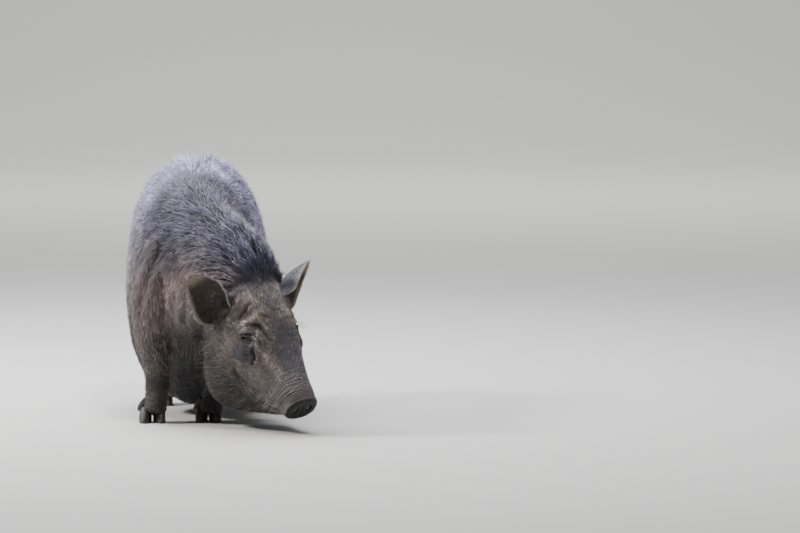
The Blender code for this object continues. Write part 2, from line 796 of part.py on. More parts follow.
def claw(name, leg, side):
    """One half of the hoof: a wedge with a flat sole, highest at the heel side of its front wall."""
    turn = side * CLAW_SPLAY
    ahead = Vector((math.sin(turn), -math.cos(turn), 0))
    across = Vector((math.cos(turn), math.sin(turn), 0))
    middle = foot_middle(leg) + Vector((side * CLAW_APART, 0.002, 0))
    # ahead of the middle, half width, height
    heel = ((-0.46, 0.62, 0.60), (-0.36, 0.94, 0.86), (-0.05, 1.0, 1.0))
    outline = heel + ((0.22, 0.86, 0.78), (0.42, 0.52, 0.42), (0.54, 0.10, 0.14))
    section = ((-1, 0), (-1.06, 0.34), (-0.82, 0.80), (0, 1), (0.82, 0.80), (1.06, 0.34), (1, 0))
    points = []
    for reach, wide, high in outline:
        spot = middle + ahead * CLAW_LENGTH * reach
        half = CLAW_WIDTH * 0.5 * wide
        rise = CLAW_HEIGHT * high
        for share, up in section:
            points.append(spot + across * half * share + Vector((0, 0, rise * up)))
    faces, count = [], len(section)
    for i in range(len(outline) - 1):
        for k in range(count):
            here, there = i * count + k, i * count + (k + 1) % count
            faces.append((here, there, there + count, here + count))
    last = (len(outline) - 1) * count
    faces += [tuple(range(count)), tuple(range(last, last + count))]
    return new_object(name, points, faces, "horn")


def add_dewclaws(leg_node, leg):
    """Two small claws behind and above the hoof, fused to the leg."""
    middle = foot_middle(leg)
    for side in (-1, 1):
        root = middle + Vector((side * DEWCLAW_APART * 0.7, DEWCLAW_BACK * 0.45, DEWCLAW_HEIGHT))
        low = DEWCLAW_HEIGHT - DEWCLAW_LENGTH
        tip = middle + Vector((side * DEWCLAW_APART * 1.65, DEWCLAW_BACK * 1.45, low))
        centres = [root.lerp(tip, t) for t in (0, 0.35, 0.7, 0.93, 1)]
        radii = [DEWCLAW_RADIUS * k for k in (0.9, 1.0, 0.85, 0.5, 0.2)]
        dewclaw = tube("dewclaw", centres, radii, 6, Vector((0, 1, 0)))
        boolean(leg_node, dewclaw, "UNION")
        remove(dewclaw)


def floor_block(name, top):
    axes = (Vector((1, 0, 0)), Vector((0, 1, 0)), Vector((0, 0, 1)))
    return block(name, axes, Vector((0, 0, 0)), (-1, -1, -1), (1, 1, top))


def add_feet(nodes):
    """Dewclaws, the flesh's end above the floor, and two claws under each leg."""
    for leg in LEGS:
        node = nodes[leg]
        add_dewclaws(node, leg)
        under = floor_block("under", FOOT_END)
        boolean(node, under, "DIFFERENCE")
        remove(under)
        for side, word in ((-1, "right"), (1, "left")):
            name = "claw_" + leg + "_" + word
            nodes[name] = claw(name, leg, side)
            cut_clear(node, nodes[name])


def add_ears(nodes):
    """Each ear's root sits in a pocket of the head and the neck."""
    for side, word in ((-1, "right"), (1, "left")):
        nodes["ear_" + word] = ear("ear_" + word, side)
        for node in ("head", "neck"):
            leave(nodes[node], ear("pocket", side, GAP))


def add_tail(nodes):
    nodes["tail"] = tail("tail")
    leave(nodes["torso"], tail("pocket", GAP))


# ---------------------------------------------------------------- bristles


def lock(spine, normals, width, thickness):
    """A flat, pointed lock through four points; the first is sunk in the skin and the last is the tip."""
    points = []
    for i, (_, share) in enumerate(LOCK_SHAPE):
        ahead = (spine[i + 1] - spine[i]).normalized()
        across = ahead.cross(normals[i]).normalized()
        up = across.cross(ahead)
        wide, high = across * width * share / 2, up * thickness * (0.5 + 0.5 * share) / 2
        points += [spine[i] - wide, spine[i] + high, spine[i] + wide, spine[i] - high]
    points.append(spine[-1])
    faces = [(0, 1, 2, 3)]
    for i in range(len(LOCK_SHAPE) - 1):
        for k in range(4):
            here, there = 4 * i + k, 4 * i + (k + 1) % 4
            faces.append((here, there, there + 4, here + 4))
    last, tip = 4 * (len(LOCK_SHAPE) - 1), len(points) - 1
    faces += [(last + k, last + (k + 1) % 4, tip) for k in range(4)]
    return new_object("lock", points, faces)


def lock_on(tree, root, normal, flow, length, lift, swing):
    """A lock that follows the surface from its root along the flow, and rises off it."""
    flow = (flow - normal * flow.dot(normal)).normalized()
    across = flow.cross(normal)
    spine, normals = [], []
    for i, rise in enumerate(LOCK_RISE):
        share = LOCK_SHAPE[i][0] if i < len(LOCK_SHAPE) else 1.0
        spot, up = tree.find_nearest(root + flow * length * share + across * swing * share * share)[:2]
        height = lift * rise if i else -LOCK_ROOT_DEPTH
        spine.append(spot + up * height)
        normals.append(up)
    return lock(spine, normals, LOCK_WIDTH, LOCK_THICKNESS)


def back_locks(tree, first, last, rows, rng, has_room):
    """Locks in staggered rows round the ridge, between two stations of the trunk's path."""
    rings = smooth_rows(TRUNK_RINGS, 4)
    ways = trunk_ways(rings)
    locks = []
    for row in range(rows):
        station = first + (last - first) * (row + 0.5) / rows
        for column, angle in enumerate(lock_angles(row)):
            i = min(len(rings) - 1, max(0, round(station + rng.uniform(-0.6, 0.6))))
            way = ways[i].normalized()
            side, up = ring_frame(way, Vector((0, 0, 1)), math.radians(rings[i][5]))
            turn = math.radians(angle + rng.uniform(-4, 4))
            outwards = up * math.cos(turn) + side * math.sin(turn)
            root, normal = tree.ray_cast(Vector(rings[i][:3]), outwards)[:2]
            if root is None or not has_room(root):
                continue
            down = (side * math.cos(turn) - up * math.sin(turn)) * math.copysign(1, turn)
            sleek = min(1.0, abs(angle) / SLEEK_ANGLE)
            slant = math.radians(12 + 42 * sleek)
            flow = down * math.sin(slant) - way * math.cos(slant)
            length = CREST_LENGTH + (FLANK_LENGTH - CREST_LENGTH) * sleek
            lift = CREST_LIFT + (FLANK_LIFT - CREST_LIFT) * sleek
            length *= rng.uniform(0.85, 1.15)
            swing = rng.uniform(-LOCK_BEND, LOCK_BEND)
            locks.append(lock_on(tree, root, normal, flow, length, lift, swing))
    return locks


def lock_angles(row):
    """Every second row is set half a step round from the one before."""
    steps = LOCK_ANGLES if row % 2 == 0 else [(a + b) / 2 for a, b in zip(LOCK_ANGLES, LOCK_ANGLES[1:])]
    return [-a for a in reversed(steps) if a] + list(steps)


def fuse(node, pieces):
    """Joins a node and many closed pieces into one closed surface."""
    group = bpy.data.collections.new("pieces")
    for piece in pieces:
        bpy.context.scene.collection.objects.unlink(piece)
        group.objects.link(piece)
    boolean(node, group, "UNION")
    remove(*group.objects)
    bpy.data.collections.remove(group)
    keep_largest(node)


def add_bristles(nodes, skin_tree):
    rng = random.Random(11)
    fuse(nodes["torso"], back_locks(skin_tree, *TORSO_STATIONS, TORSO_ROWS, rng, grows_on_trunk))
    fuse(nodes["neck"], back_locks(skin_tree, *NECK_STATIONS, NECK_ROWS, rng, grows_on_neck))
    fuse(nodes["tail"], tail_locks(rng))


def tail_locks(rng):
    """The tuft: thin locks round the end of the tail."""
    rows = smooth_rows(TAIL_PATH, 2)
    centres = [Vector(row[:3]) for row in rows]
    locks = []
    for k in range(TAIL_LOCKS):
        i = len(centres) - 2 - k % 4
        ahead = (centres[i + 1] - centres[i]).normalized()
        turn = 2 * math.pi * k / TAIL_LOCKS
        sideways = ahead.cross(Vector((0, 1, 0))).normalized()
        outwards = sideways * math.cos(turn) + sideways.cross(ahead) * math.sin(turn)
        length = TAIL_LOCK_LENGTH * rng.uniform(0.8, 1.1)
        radius = rows[i][3]
        spine = [
            centres[i] + outwards * (radius - 0.0022),
            centres[i] + ahead * length * 0.36 + outwards * (radius + 0.002),
            centres[i] + ahead * length * 0.72 + outwards * (radius + 0.001),
            centres[i] + ahead * length + outwards * radius * rng.uniform(-0.4, 0.8),
        ]
        locks.append(lock(spine, [outwards] * 4, TAIL_LOCK_WIDTH, LOCK_THICKNESS * 0.7))
    return locks


# ---------------------------------------------------------------- the whole pig


def drop_to_origin(nodes):
    """Puts the middle of the whole pig's footprint at the origin."""
    places = [v.co for node in nodes.values() for v in node.data.vertices]
    low = Vector([min(p[i] for p in places) for i in range(3)])
    high = Vector([max(p[i] for p in places) for i in range(3)])
    shift = Matrix.Translation((-(low.x + high.x) / 2, -(low.y + high.y) / 2, -low.z))
    for node in nodes.values():
        node.data.transform(shift)


def main():
    clear_scene()
    flesh = fused_flesh()
    skin_tree = surface_tree(flesh)
    nodes = part_flesh(flesh)
    head = nodes["head"]
    muzzle_end = block("end", head_axes(), HEAD_ORIGIN, (SNOUT_START, -0.1, -0.1), (0.5, 0.1, 0.1))
    leave(head, muzzle_end)
    add_mouth(head)
    nodes["snout"] = snout_disc()
    for side, word in ((-1, "right"), (1, "left")):
        nodes["eye_" + word] = add_eye(head, "eye_" + word, side)
    add_ears(nodes)
    add_tail(nodes)
    add_feet(nodes)
    add_bristles(nodes, skin_tree)
    drop_to_origin(nodes)


main()
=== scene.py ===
"""The pot bellied pig, dressed: one skin with its folds and lids, a coat of bristles, eyes, snout and claws.

Metres, +Z up. The pig faces -Y and its own left is +X. Forms are written in the pig's own frame, as in its
solids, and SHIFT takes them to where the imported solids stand.
"""

import json
import math
from contextlib import contextmanager

import bmesh
import bpy
import numpy as np
from mathutils import Matrix, Vector
from mathutils.bvhtree import BVHTree
from mathutils.kdtree import KDTree

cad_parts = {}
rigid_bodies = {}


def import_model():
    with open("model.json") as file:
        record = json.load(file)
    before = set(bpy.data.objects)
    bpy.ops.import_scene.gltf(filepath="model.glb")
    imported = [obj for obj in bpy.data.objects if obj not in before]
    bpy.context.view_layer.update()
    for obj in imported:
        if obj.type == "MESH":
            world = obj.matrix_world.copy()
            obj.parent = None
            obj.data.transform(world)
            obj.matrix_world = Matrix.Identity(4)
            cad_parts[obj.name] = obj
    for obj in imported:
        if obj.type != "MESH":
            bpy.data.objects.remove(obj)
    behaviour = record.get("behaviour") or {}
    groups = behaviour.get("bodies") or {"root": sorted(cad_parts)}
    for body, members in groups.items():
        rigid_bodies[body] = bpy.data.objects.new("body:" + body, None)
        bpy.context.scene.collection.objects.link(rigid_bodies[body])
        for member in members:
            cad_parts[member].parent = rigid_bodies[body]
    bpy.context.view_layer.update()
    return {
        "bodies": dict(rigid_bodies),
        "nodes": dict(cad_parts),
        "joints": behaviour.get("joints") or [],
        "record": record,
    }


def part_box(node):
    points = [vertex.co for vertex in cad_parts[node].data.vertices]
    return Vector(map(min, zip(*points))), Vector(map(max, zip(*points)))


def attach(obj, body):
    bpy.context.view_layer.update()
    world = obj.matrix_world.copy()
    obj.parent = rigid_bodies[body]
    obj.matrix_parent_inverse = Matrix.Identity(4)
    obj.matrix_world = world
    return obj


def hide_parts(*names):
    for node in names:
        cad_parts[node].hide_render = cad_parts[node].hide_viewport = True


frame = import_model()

# Driving dimensions
SKIN_VOXEL = 0.0031  # grain at which the forms are fused
EAR_VOXEL = 0.0015
COAT_DEPTH = 0.0015  # how far the skin lies inside the solids
SKIN_SMOOTHING, EAR_SMOOTHING, SEAM_SMOOTHING = 9, 6, 8

# Trunk rings from tail to nape: x, y, z of the centre, half width, half height, lean towards the pig's
# left (deg), and how much narrower the back is than the belly
TRUNK_RINGS = (
    (0.029, 0.400, 0.345, 0.028, 0.038, 0, 0.00),  # buttock
    (0.029, 0.374, 0.332, 0.074, 0.094, 0, 0.00),
    (0.029, 0.318, 0.302, 0.104, 0.140, 0, 0.04),  # croup
    (0.029, 0.235, 0.281, 0.122, 0.174, 0, 0.06),  # hip
    (0.031, 0.145, 0.241, 0.130, 0.209, 1, 0.08),  # loin
    (0.033, 0.055, 0.223, 0.131, 0.208, 3, 0.12),  # pot belly
    (0.036, -0.025, 0.242, 0.121, 0.184, 6, 0.20),  # ribs
    (0.040, -0.092, 0.262, 0.105, 0.157, 9, 0.26),  # withers
    (0.056, -0.142, 0.262, 0.096, 0.133, 9, 0.22),  # shoulder
    (0.080, -0.180, 0.254, 0.086, 0.111, 7, 0.14),  # root of the neck
    (0.101, -0.206, 0.238, 0.078, 0.092, 4, 0.06),
    (0.118, -0.226, 0.218, 0.068, 0.074, 0, 0.00),  # nape
)
TRUNK_EXPONENT = 2.2
LEVEL_RINGS = (0.10, 0.20)  # rings stand upright behind the first, and square to the neck past the second

# Head frame: along the head, to the pig's left, and out of the forehead
HEAD_ORIGIN = Vector((0.114, -0.232, 0.236))
HEAD_YAW = math.radians(35)
HEAD_PITCH = math.radians(49)
HEAD_ROLL = math.radians(12)
HEAD_EXPONENT = 2.4
# Head rings: distance along, centre towards the forehead, half width, half height, narrowing upwards
HEAD_RINGS = (
    (-0.050, -0.020, 0.048, 0.050, 0.00),
    (-0.012, -0.024, 0.064, 0.072, 0.04),  # poll
    (0.030, -0.036, 0.072, 0.094, 0.08),  # forehead
    (0.070, -0.057, 0.078, 0.116, 0.20),  # jowl
    (0.110, -0.062, 0.074, 0.115, 0.21),  # cheek
    (0.145, -0.053, 0.058, 0.098, 0.14),
    (0.178, -0.036, 0.0455, 0.075, 0.06),  # corner of the mouth
    (0.208, -0.019, 0.0360, 0.056, 0.02),
    (0.236, -0.004, 0.0315, 0.038, 0.00),  # muzzle
    (0.250, -0.002, 0.0300, 0.032, 0.00),
)

# Leg rings, top down: sideways from the midline, y, z, half width, half length
FORELEG_RINGS = (
    (0.048, -0.078, 0.355, 0.026, 0.045),  # shoulder blade
    (0.074, -0.100, 0.275, 0.040, 0.066),  # point of the shoulder
    (0.083, -0.112, 0.205, 0.040, 0.060),  # upper arm
    (0.079, -0.108, 0.152, 0.033, 0.045),  # elbow
    (0.067, -0.112, 0.112, 0.0265, 0.032),  # forearm
    (0.057, -0.116, 0.082, 0.0240, 0.0260),  # knee
    (0.053, -0.119, 0.060, 0.0225, 0.0225),  # cannon
    (0.051, -0.125, 0.038, 0.0225, 0.0245),  # fetlock
    (0.050, -0.131, 0.022, 0.0210, 0.0250),  # foot
    (0.050, -0.133, 0.014, 0.0190, 0.0230),
)
HINDLEG_RINGS = (
    (0.055, 0.280, 0.360, 0.036, 0.062),  # hip
    (0.074, 0.265, 0.280, 0.048, 0.090),  # thigh
    (0.086, 0.226, 0.205, 0.044, 0.074),  # stifle
    (0.084, 0.246, 0.160, 0.033, 0.048),  # gaskin
    (0.076, 0.281, 0.120, 0.0230, 0.0310),  # hock
    (0.073, 0.270, 0.076, 0.0185, 0.0220),  # cannon
    (0.071, 0.258, 0.042, 0.0210, 0.0240),  # fetlock
    (0.070, 0.251, 0.022, 0.0205, 0.0250),  # foot
    (0.070, 0.248, 0.014, 0.0185, 0.0230),
)
SHOULDER_HEIGHT = 0.200  # above it the legs follow the trunk
SHOULDER_MIDLINE, FOREFOOT_MIDLINE = 0.038, -0.003  # the chest leans off its feet
HIND_MIDLINE = 0.030
# Each leg: rings, side (pig's left is +1), and how far the foot is set back
LEGS = {
    "foreleg_right": (FORELEG_RINGS, -1, 0.000),
    "foreleg_left": (FORELEG_RINGS, 1, 0.012),
    "hindleg_right": (HINDLEG_RINGS, -1, -0.040),
    "hindleg_left": (HINDLEG_RINGS, 1, 0.022),
}
SIDES = {"right": -1, "left": 1}
WORDS = {side: word for word, side in SIDES.items()}

# Feet
CLAW_LENGTH, CLAW_WIDTH, CLAW_HEIGHT = 0.050, 0.0210, 0.029
CLAW_SPLAY = math.radians(7)
DEWCLAW_HEIGHT, DEWCLAW_APART, DEWCLAW_BACK = 0.040, 0.0150, 0.0190
DEWCLAW_LENGTH, DEWCLAW_RADIUS = 0.021, 0.0062

# Eyes, in the head frame: along, sideways and towards the forehead
EYE_RADIUS = 0.0105
EYE_PLACE = (0.1000, 0.0425, 0.0160)
LID_HALF = (0.0195, 0.0165, 0.0128)
EYE_FACING = (0.28, 0.86, 0.42)
EYE_SLANT = (0.75, -0.37, 0.55)  # from the outer corner to the inner one
EYE_OPENING = (0.0096, 0.0037)  # half width and half height between the lids

# Snout disc, nostrils and mouth, in the head frame
SNOUT_START, SNOUT_END = 0.236, 0.254
SNOUT_HALF = (0.0300, 0.0285)
SNOUT_CENTRE = -0.002
NOSTRIL_HALF = (0.0052, 0.0078)
NOSTRIL_APART = 0.0125
NOSTRIL_DEPTH = 0.011
MOUTH_PATH = ((0.158, -0.046), (0.178, -0.049), (0.200, -0.044), (0.219, -0.034), (0.231, -0.025))

# Ears, in the head frame: place of the root, way the ear points and way its cup faces
EAR_STANCE = {
    "right": ((0.0428, 0.0740, 0.0085), (-0.851, 0.376, 0.368), (0.465, 0.804, 0.371)),
    "left": ((0.0566, 0.0627, 0.0262), (-0.795, 0.598, 0.229), (0.672, 0.729, 0.131)),
}
EAR_LENGTH = 0.0985
EAR_HALF_WIDTH = 0.040
EAR_OUTLINE = ((0, 0.13, 0.38, 0.6, 0.8, 0.93, 1), (0.66, 0.92, 1.03, 0.92, 0.64, 0.36, 0.15))
EAR_CUP = ((0, 0.3, 0.55, 0.8, 1), (0.030, 0.034, 0.029, 0.014, 0.003))  # depth along the ear
EAR_BOW = 0.006  # how far the middle bows towards the poll
EAR_LOBE = {"right": -0.0095, "left": 0.0}  # how far the root's outer edge hangs out
EAR_LOBE_REACH = ((0, 0.10, 0.3, 0.65), (0.7, 1, 0.8, 0))
EAR_DIP = 0.022  # how far the root turns into the head
EAR_DIP_SHARE = 0.22  # the share of its length that turns
EAR_CURL = 0.004
EAR_SUNK = 0.006
EAR_THICKNESS = 0.0054
EAR_THIN_TIP, EAR_THIN_EDGE = 0.25, 0.15  # the share by which it thins towards its tip and edges

# Tail: points down its middle from the root, and radius at each
TAIL_PATH = (
    (0.029, 0.380, 0.362, 0.0105),
    (0.031, 0.412, 0.352, 0.0095),
    (0.036, 0.430, 0.325, 0.0080),
    (0.042, 0.436, 0.290, 0.0068),
    (0.044, 0.434, 0.255, 0.0060),
    (0.040, 0.430, 0.228, 0.0054),
    (0.034, 0.428, 0.208, 0.0046),
)

# Parts of the skin, by number
TRUNK, HEAD, FORELEG, HINDLEG, EAR, TAIL = range(6)


# ---------------------------------------------------------------- basic tools


def unit(rows):
    """Each row at length one."""
    return rows / np.maximum(np.linalg.norm(rows, axis=-1, keepdims=True), 1e-12)


def ramp(values, low, high):
    """0 below low, 1 above high, smooth between."""
    share = np.clip((values - low) / (high - low), 0, 1)
    return share * share * (3 - 2 * share)


def mix(a, b, share):
    """Rows of a turned towards b by each row's share."""
    share = np.asarray(share)[..., None]
    return a * (1 - share) + b * share


def layered(colours, *layers):
    """Colours with others laid over them in turn: a colour and its share at each row."""
    for colour, share in layers:
        colours = mix(colours, colour, share)
    return colours


def lattice_noise(points, size, seed):
    """Smooth noise from -1 to 1 with hills about this size."""
    spot = points / size + 17.3 * seed
    cell = np.floor(spot).astype(np.int64)
    part = spot - cell
    part = part * part * (3 - 2 * part)
    total = np.zeros(len(points))
    for corner in range(8):
        bits = np.array([corner & 1, corner >> 1 & 1, corner >> 2])
        key = (cell + bits) * np.array([73856093, 19349663, 83492791])
        hashed = (key[:, 0] ^ key[:, 1] ^ key[:, 2]) * 2654435761 & 0xFFFFFFFF
        hashed = (hashed ^ hashed >> 15) * 2246822519 & 0xFFFFFFFF
        value = (hashed >> 8 & 0xFFFF) / 32767.5 - 1
        total += value * np.prod(np.where(bits, part, 1 - part), axis=1)
    return total


def smooth_rows(rows, steps):
    """Rows of numbers read along a Catmull-Rom curve, with this many steps between two of them."""
    rows = np.array(rows, float)
    ends = np.vstack([2 * rows[0] - rows[1], rows, 2 * rows[-1] - rows[-2]])
    out = []
    for i in range(1, len(ends) - 2):
        a, b, c, d = ends[i - 1 : i + 3]
        slope, square, cube = c - a, 2 * a - 5 * b + 4 * c - d, 3 * b - a - 3 * c + d
        for t in np.arange(steps) / steps:
            out.append(0.5 * (2 * b + slope * t + square * t**2 + cube * t**3))
    return np.array(out + [rows[-1]])


def distance(places, place):
    return np.linalg.norm(places - np.array(place), axis=1)


def arrays(vectors):
    return [np.array(vector) for vector in vectors]


def link(name, data):
    """An object of the scene that shows a mesh, a light or a camera."""
    obj = bpy.data.objects.new(name, data)
    bpy.context.scene.collection.objects.link(obj)
    return obj


@contextmanager
def editing(mesh):
    """The mesh opened for bmesh, and written back."""
    work = bmesh.new()
    work.from_mesh(mesh)
    yield work
    work.to_mesh(mesh)
    work.free()
    mesh.update()


def soften(work, verts, times):
    """Draws vertices towards their neighbours."""
    verts = sorted(verts, key=lambda v: v.index)
    axes = {"use_axis_x": True, "use_axis_y": True, "use_axis_z": True}
    for _ in range(times):
        bmesh.ops.smooth_vert(work, verts=verts, factor=0.5, **axes)


def mesh_object(name, points, faces):
    """An object from points and faces, with its faces turned outwards."""
    mesh = bpy.data.meshes.new(name)
    mesh.from_pydata([tuple(p) for p in points], [], faces)
    with editing(mesh) as work:
        bmesh.ops.recalc_face_normals(work, faces=work.faces)
    mesh.shade_smooth()
    return link(name, mesh)


def apply_modifiers(obj):
    graph = bpy.context.evaluated_depsgraph_get()
    mesh = bpy.data.meshes.new_from_object(obj.evaluated_get(graph))
    obj.modifiers.clear()
    obj.data = mesh


def combine(obj, other, operation):
    """Fuses another closed form to obj, or takes its room out of it, and removes the other."""
    modifier = obj.modifiers.new("combine", "BOOLEAN")
    modifier.operation, modifier.solver, modifier.object = operation, "MANIFOLD", other
    apply_modifiers(obj)
    bpy.data.objects.remove(other)


def fuse(obj, voxel, smoothing):
    """Remeshes all of an object's surfaces into one soft skin."""
    remesh = obj.modifiers.new("fuse", "REMESH")
    remesh.mode, remesh.voxel_size = "VOXEL", voxel
    smooth = obj.modifiers.new("soften", "SMOOTH")
    smooth.factor, smooth.iterations = 0.5, smoothing
    apply_modifiers(obj)


def rows_of(mesh, what="co"):
    """The place of each vertex, or its normal."""
    out = np.empty(len(mesh.vertices) * 3, np.float32)
    mesh.vertices.foreach_get(what, out)
    return out.reshape(-1, 3).astype(float)


def move_to(mesh, places):
    mesh.vertices.foreach_set("co", places.astype(np.float32).ravel())
    mesh.update()


def surface_tree(mesh):
    return BVHTree.FromPolygons([v.co for v in mesh.vertices], [p.vertices for p in mesh.polygons])


def point_tree(points):
    tree = KDTree(len(points))
    for i, point in enumerate(points):
        tree.insert(point, i)
    tree.balance()
    return tree


def nearest(tree, places):
    """Nearest points of the surface, and the surface's directions there."""
    spots, ways = np.empty((len(places), 3)), np.empty((len(places), 3))
    for i, place in enumerate(places):
        spots[i], ways[i] = tree.find_nearest(place)[:2]
    return spots, ways


# ---------------------------------------------------------------- frames of the body


def ring_frame(along, up_hint, lean=0.0):
    """Sideways and upward directions of a ring, square to the path."""
    up = (up_hint - along * up_hint.dot(along)).normalized()
    side = up.cross(along)
    turn = Matrix.Rotation(lean, 3, along)
    return turn @ side, turn @ up


def ways_of(centres):
    """The path's direction at each ring."""
    last = len(centres) - 1
    return [Vector(centres[min(i + 1, last)]) - Vector(centres[max(i - 1, 0)]) for i in range(last + 1)]


def head_axes():
    """Along the head to the snout, to the pig's left, and out of the forehead."""
    ahead = Vector((math.sin(HEAD_YAW), -math.cos(HEAD_YAW), 0))
    down = Vector((0, 0, -1))
    along = ahead * math.cos(HEAD_PITCH) + down * math.sin(HEAD_PITCH)
    left = Vector((math.cos(HEAD_YAW), math.sin(HEAD_YAW), 0))
    out = along.cross(left)
    rolled = left * math.cos(HEAD_ROLL) + out * math.sin(HEAD_ROLL)
    return along, rolled, out * math.cos(HEAD_ROLL) - left * math.sin(HEAD_ROLL)


HEAD_TURN = np.array([list(axis) for axis in head_axes()])


def head_point(place, side=1):
    """A place of the head frame on one side of the head, in the row's frame."""
    axes = head_axes()
    return HEAD_ORIGIN + SHIFT + axes[0] * place[0] + axes[1] * (side * place[1]) + axes[2] * place[2]


def head_way(way, side=1):
    axes = head_axes()
    return (axes[0] * way[0] + axes[1] * (side * way[1]) + axes[2] * way[2]).normalized()


def in_head(places):
    """Row places as distances along the head, to its left and out of the forehead."""
    return (places - np.array(HEAD_ORIGIN + SHIFT)) @ HEAD_TURN.T


def eye_centre(side):
    return head_point(EYE_PLACE, side)


def eye_axes(side):
    """Along the slit towards the snout, up over the lids, and out of the eye."""
    facing, slant = head_way(EYE_FACING, side), head_way(EYE_SLANT, side)
    long_way = (slant - facing * slant.dot(facing)).normalized()
    return long_way, facing.cross(long_way) * -side, facing


def find_shift():
    """Where the solids stand against the pig's own frame: the left eye shows it."""
    low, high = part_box("eye_left")
    return (low + high) / 2 - eye_centre(SIDES["left"])


SHIFT = Vector((0, 0, 0))
SHIFT = find_shift()


# ---------------------------------------------------------------- forms


def superellipse(count, exponent):
    """Points of the unit superellipse: sideways and upwards."""
    angles = 2 * math.pi * np.arange(count) / count
    share = 2 / exponent
    across, up = np.sin(angles), np.cos(angles)
    return np.sign(across) * np.abs(across) ** share, np.sign(up) * np.abs(up) ** share


def ring_stack(centres, halves, frames, sides, exponent=2.0, tapers=None):
    """Rings of points round the centres, with faces between them and over both ends."""
    across, up = superellipse(sides, exponent)
    rings = []
    for i, (side, rise) in enumerate(frames):
        narrow = 1 - up * (tapers[i] if tapers is not None else 0)
        ring = np.outer(across * narrow * halves[i][0], side) + np.outer(up * halves[i][1], rise)
        rings.append(ring + np.array(centres[i]))
    return np.vstack(rings), stack_faces(len(rings), sides)


def stack_faces(rings, sides):
    faces = []
    for i in range(rings - 1):
        for k in range(sides):
            here, there = i * sides + k, i * sides + (k + 1) % sides
            faces.append((here, there, there + sides, here + sides))
    last = (rings - 1) * sides
    return faces + [tuple(range(sides)), tuple(range(last, last + sides))]


def trunk_path(steps=8):
    """Rings of the trunk, with the direction, side and up of each."""
    rows = smooth_rows(TRUNK_RINGS, steps)
    ways = ways_of(rows[:, :3])
    frames = []
    for i, slope in enumerate(np.interp(-rows[:, 1], LEVEL_RINGS, (0, 1))):
        ways[i].z *= slope
        ways[i].normalize()
        frames.append(ring_frame(ways[i], Vector((0, 0, 1)), math.radians(rows[i, 5])))
    rows[:, :3] += np.array(SHIFT)
    return rows, ways, frames


def trunk_form():
    rows, _, frames = trunk_path()
    return ring_stack(rows[:, :3], rows[:, 3:5], frames, 72, TRUNK_EXPONENT, rows[:, 6])


def head_form():
    rows = smooth_rows(HEAD_RINGS, 8)
    centres = [head_point((row[0], 0, row[1])) for row in rows]
    frames = [ring_frame(head_axes()[0], head_axes()[2])] * len(rows)
    return ring_stack(centres, rows[:, 2:4], frames, 64, HEAD_EXPONENT, rows[:, 4])


def leg_rows(name):
    """Rings of one leg: the foot's offsets fade out towards the top."""
    rings, side, back = LEGS[name]
    rows = []
    for sideways, y, z, across, length in smooth_rows(rings, 6):
        low = min(1.0, max(0.0, 1 - z / SHOULDER_HEIGHT))
        midline = HIND_MIDLINE
        if rings is FORELEG_RINGS:
            midline = SHOULDER_MIDLINE + (FOREFOOT_MIDLINE - SHOULDER_MIDLINE) * low
        rows.append((midline + side * sideways + SHIFT.x, y + back * low + SHIFT.y, z, across, length))
    return np.array(rows)


def leg_form(name):
    rows = leg_rows(name)
    frames = [ring_frame(way.normalized(), Vector((0, -1, 0))) for way in ways_of(rows[:, :3])]
    return ring_stack(rows[:, :3], rows[:, 3:5], frames, 40)


def tail_form():
    rows = smooth_rows(TAIL_PATH, 5)
    centres = rows[:, :3] + np.array(SHIFT)
    frames = [ring_frame(way.normalized(), Vector((1, 0, 0))) for way in ways_of(centres)]
    return ring_stack(centres, np.repeat(rows[:, 3:], 2, axis=1), frames, 20)


def ball_form(centre, axes, halves, rings=16, sides=28):
    """A ball stretched along three axes."""
    turn = np.linspace(0, math.pi, rings + 1)[1:-1]
    centres = [centre + axes[2] * halves[2] * math.cos(t) for t in turn]
    sizes = [(halves[0] * math.sin(t), halves[1] * math.sin(t)) for t in turn]
    return ring_stack(centres, sizes, [(axes[0], axes[1])] * len(turn), sides)


def ear_axes(side):
    """Out to the tip, across the ear to its inner edge, and the way its cup faces."""
    way, facing = (head_way(v, side) for v in EAR_STANCE[WORDS[side]][1:])
    facing = (facing - way * facing.dot(way)).normalized()
    return way, facing.cross(way) * side, facing


def ear_root(side):
    return head_point(EAR_STANCE[WORDS[side]][0], side)


def ear_bow(t, side):
    """How far the middle of the ear lies to one side, by the share of the way to the tip."""
    t = np.clip(t, 0, 1)
    return EAR_BOW * np.sin(math.pi * t) + EAR_LOBE[WORDS[side]] * np.interp(t, *EAR_LOBE_REACH)


def ear_form(side, rows=34, columns=26):
    """A pointed cup: front and back skins a little apart, the root turned into the head."""
    way, across, facing = arrays(ear_axes(side))
    root = np.array(ear_root(side)) - way * EAR_SUNK
    points = []
    for skin in (1, -1):
        for i in range(rows + 1):
            t = i / rows
            width = EAR_HALF_WIDTH * float(np.interp(t, *EAR_OUTLINE))
            cup = float(np.interp(t, *EAR_CUP))
            spine = root + way * EAR_LENGTH * t + across * float(ear_bow(t, side))
            spine = spine + facing * (EAR_CURL * t * t - EAR_DIP * max(0, 1 - t / EAR_DIP_SHARE) ** 2)
            for k in range(columns + 1):
                s = 2 * k / columns - 1
                inwards = unit(facing - across * 2 * cup * s / width)
                half = EAR_THICKNESS * 0.5 * (1 - EAR_THIN_TIP * t) * (1 - EAR_THIN_EDGE * s * s)
                points.append(spine + across * width * s + facing * cup * (s * s - 1) + inwards * skin * half)
    return np.array(points), shell_faces(rows, columns)


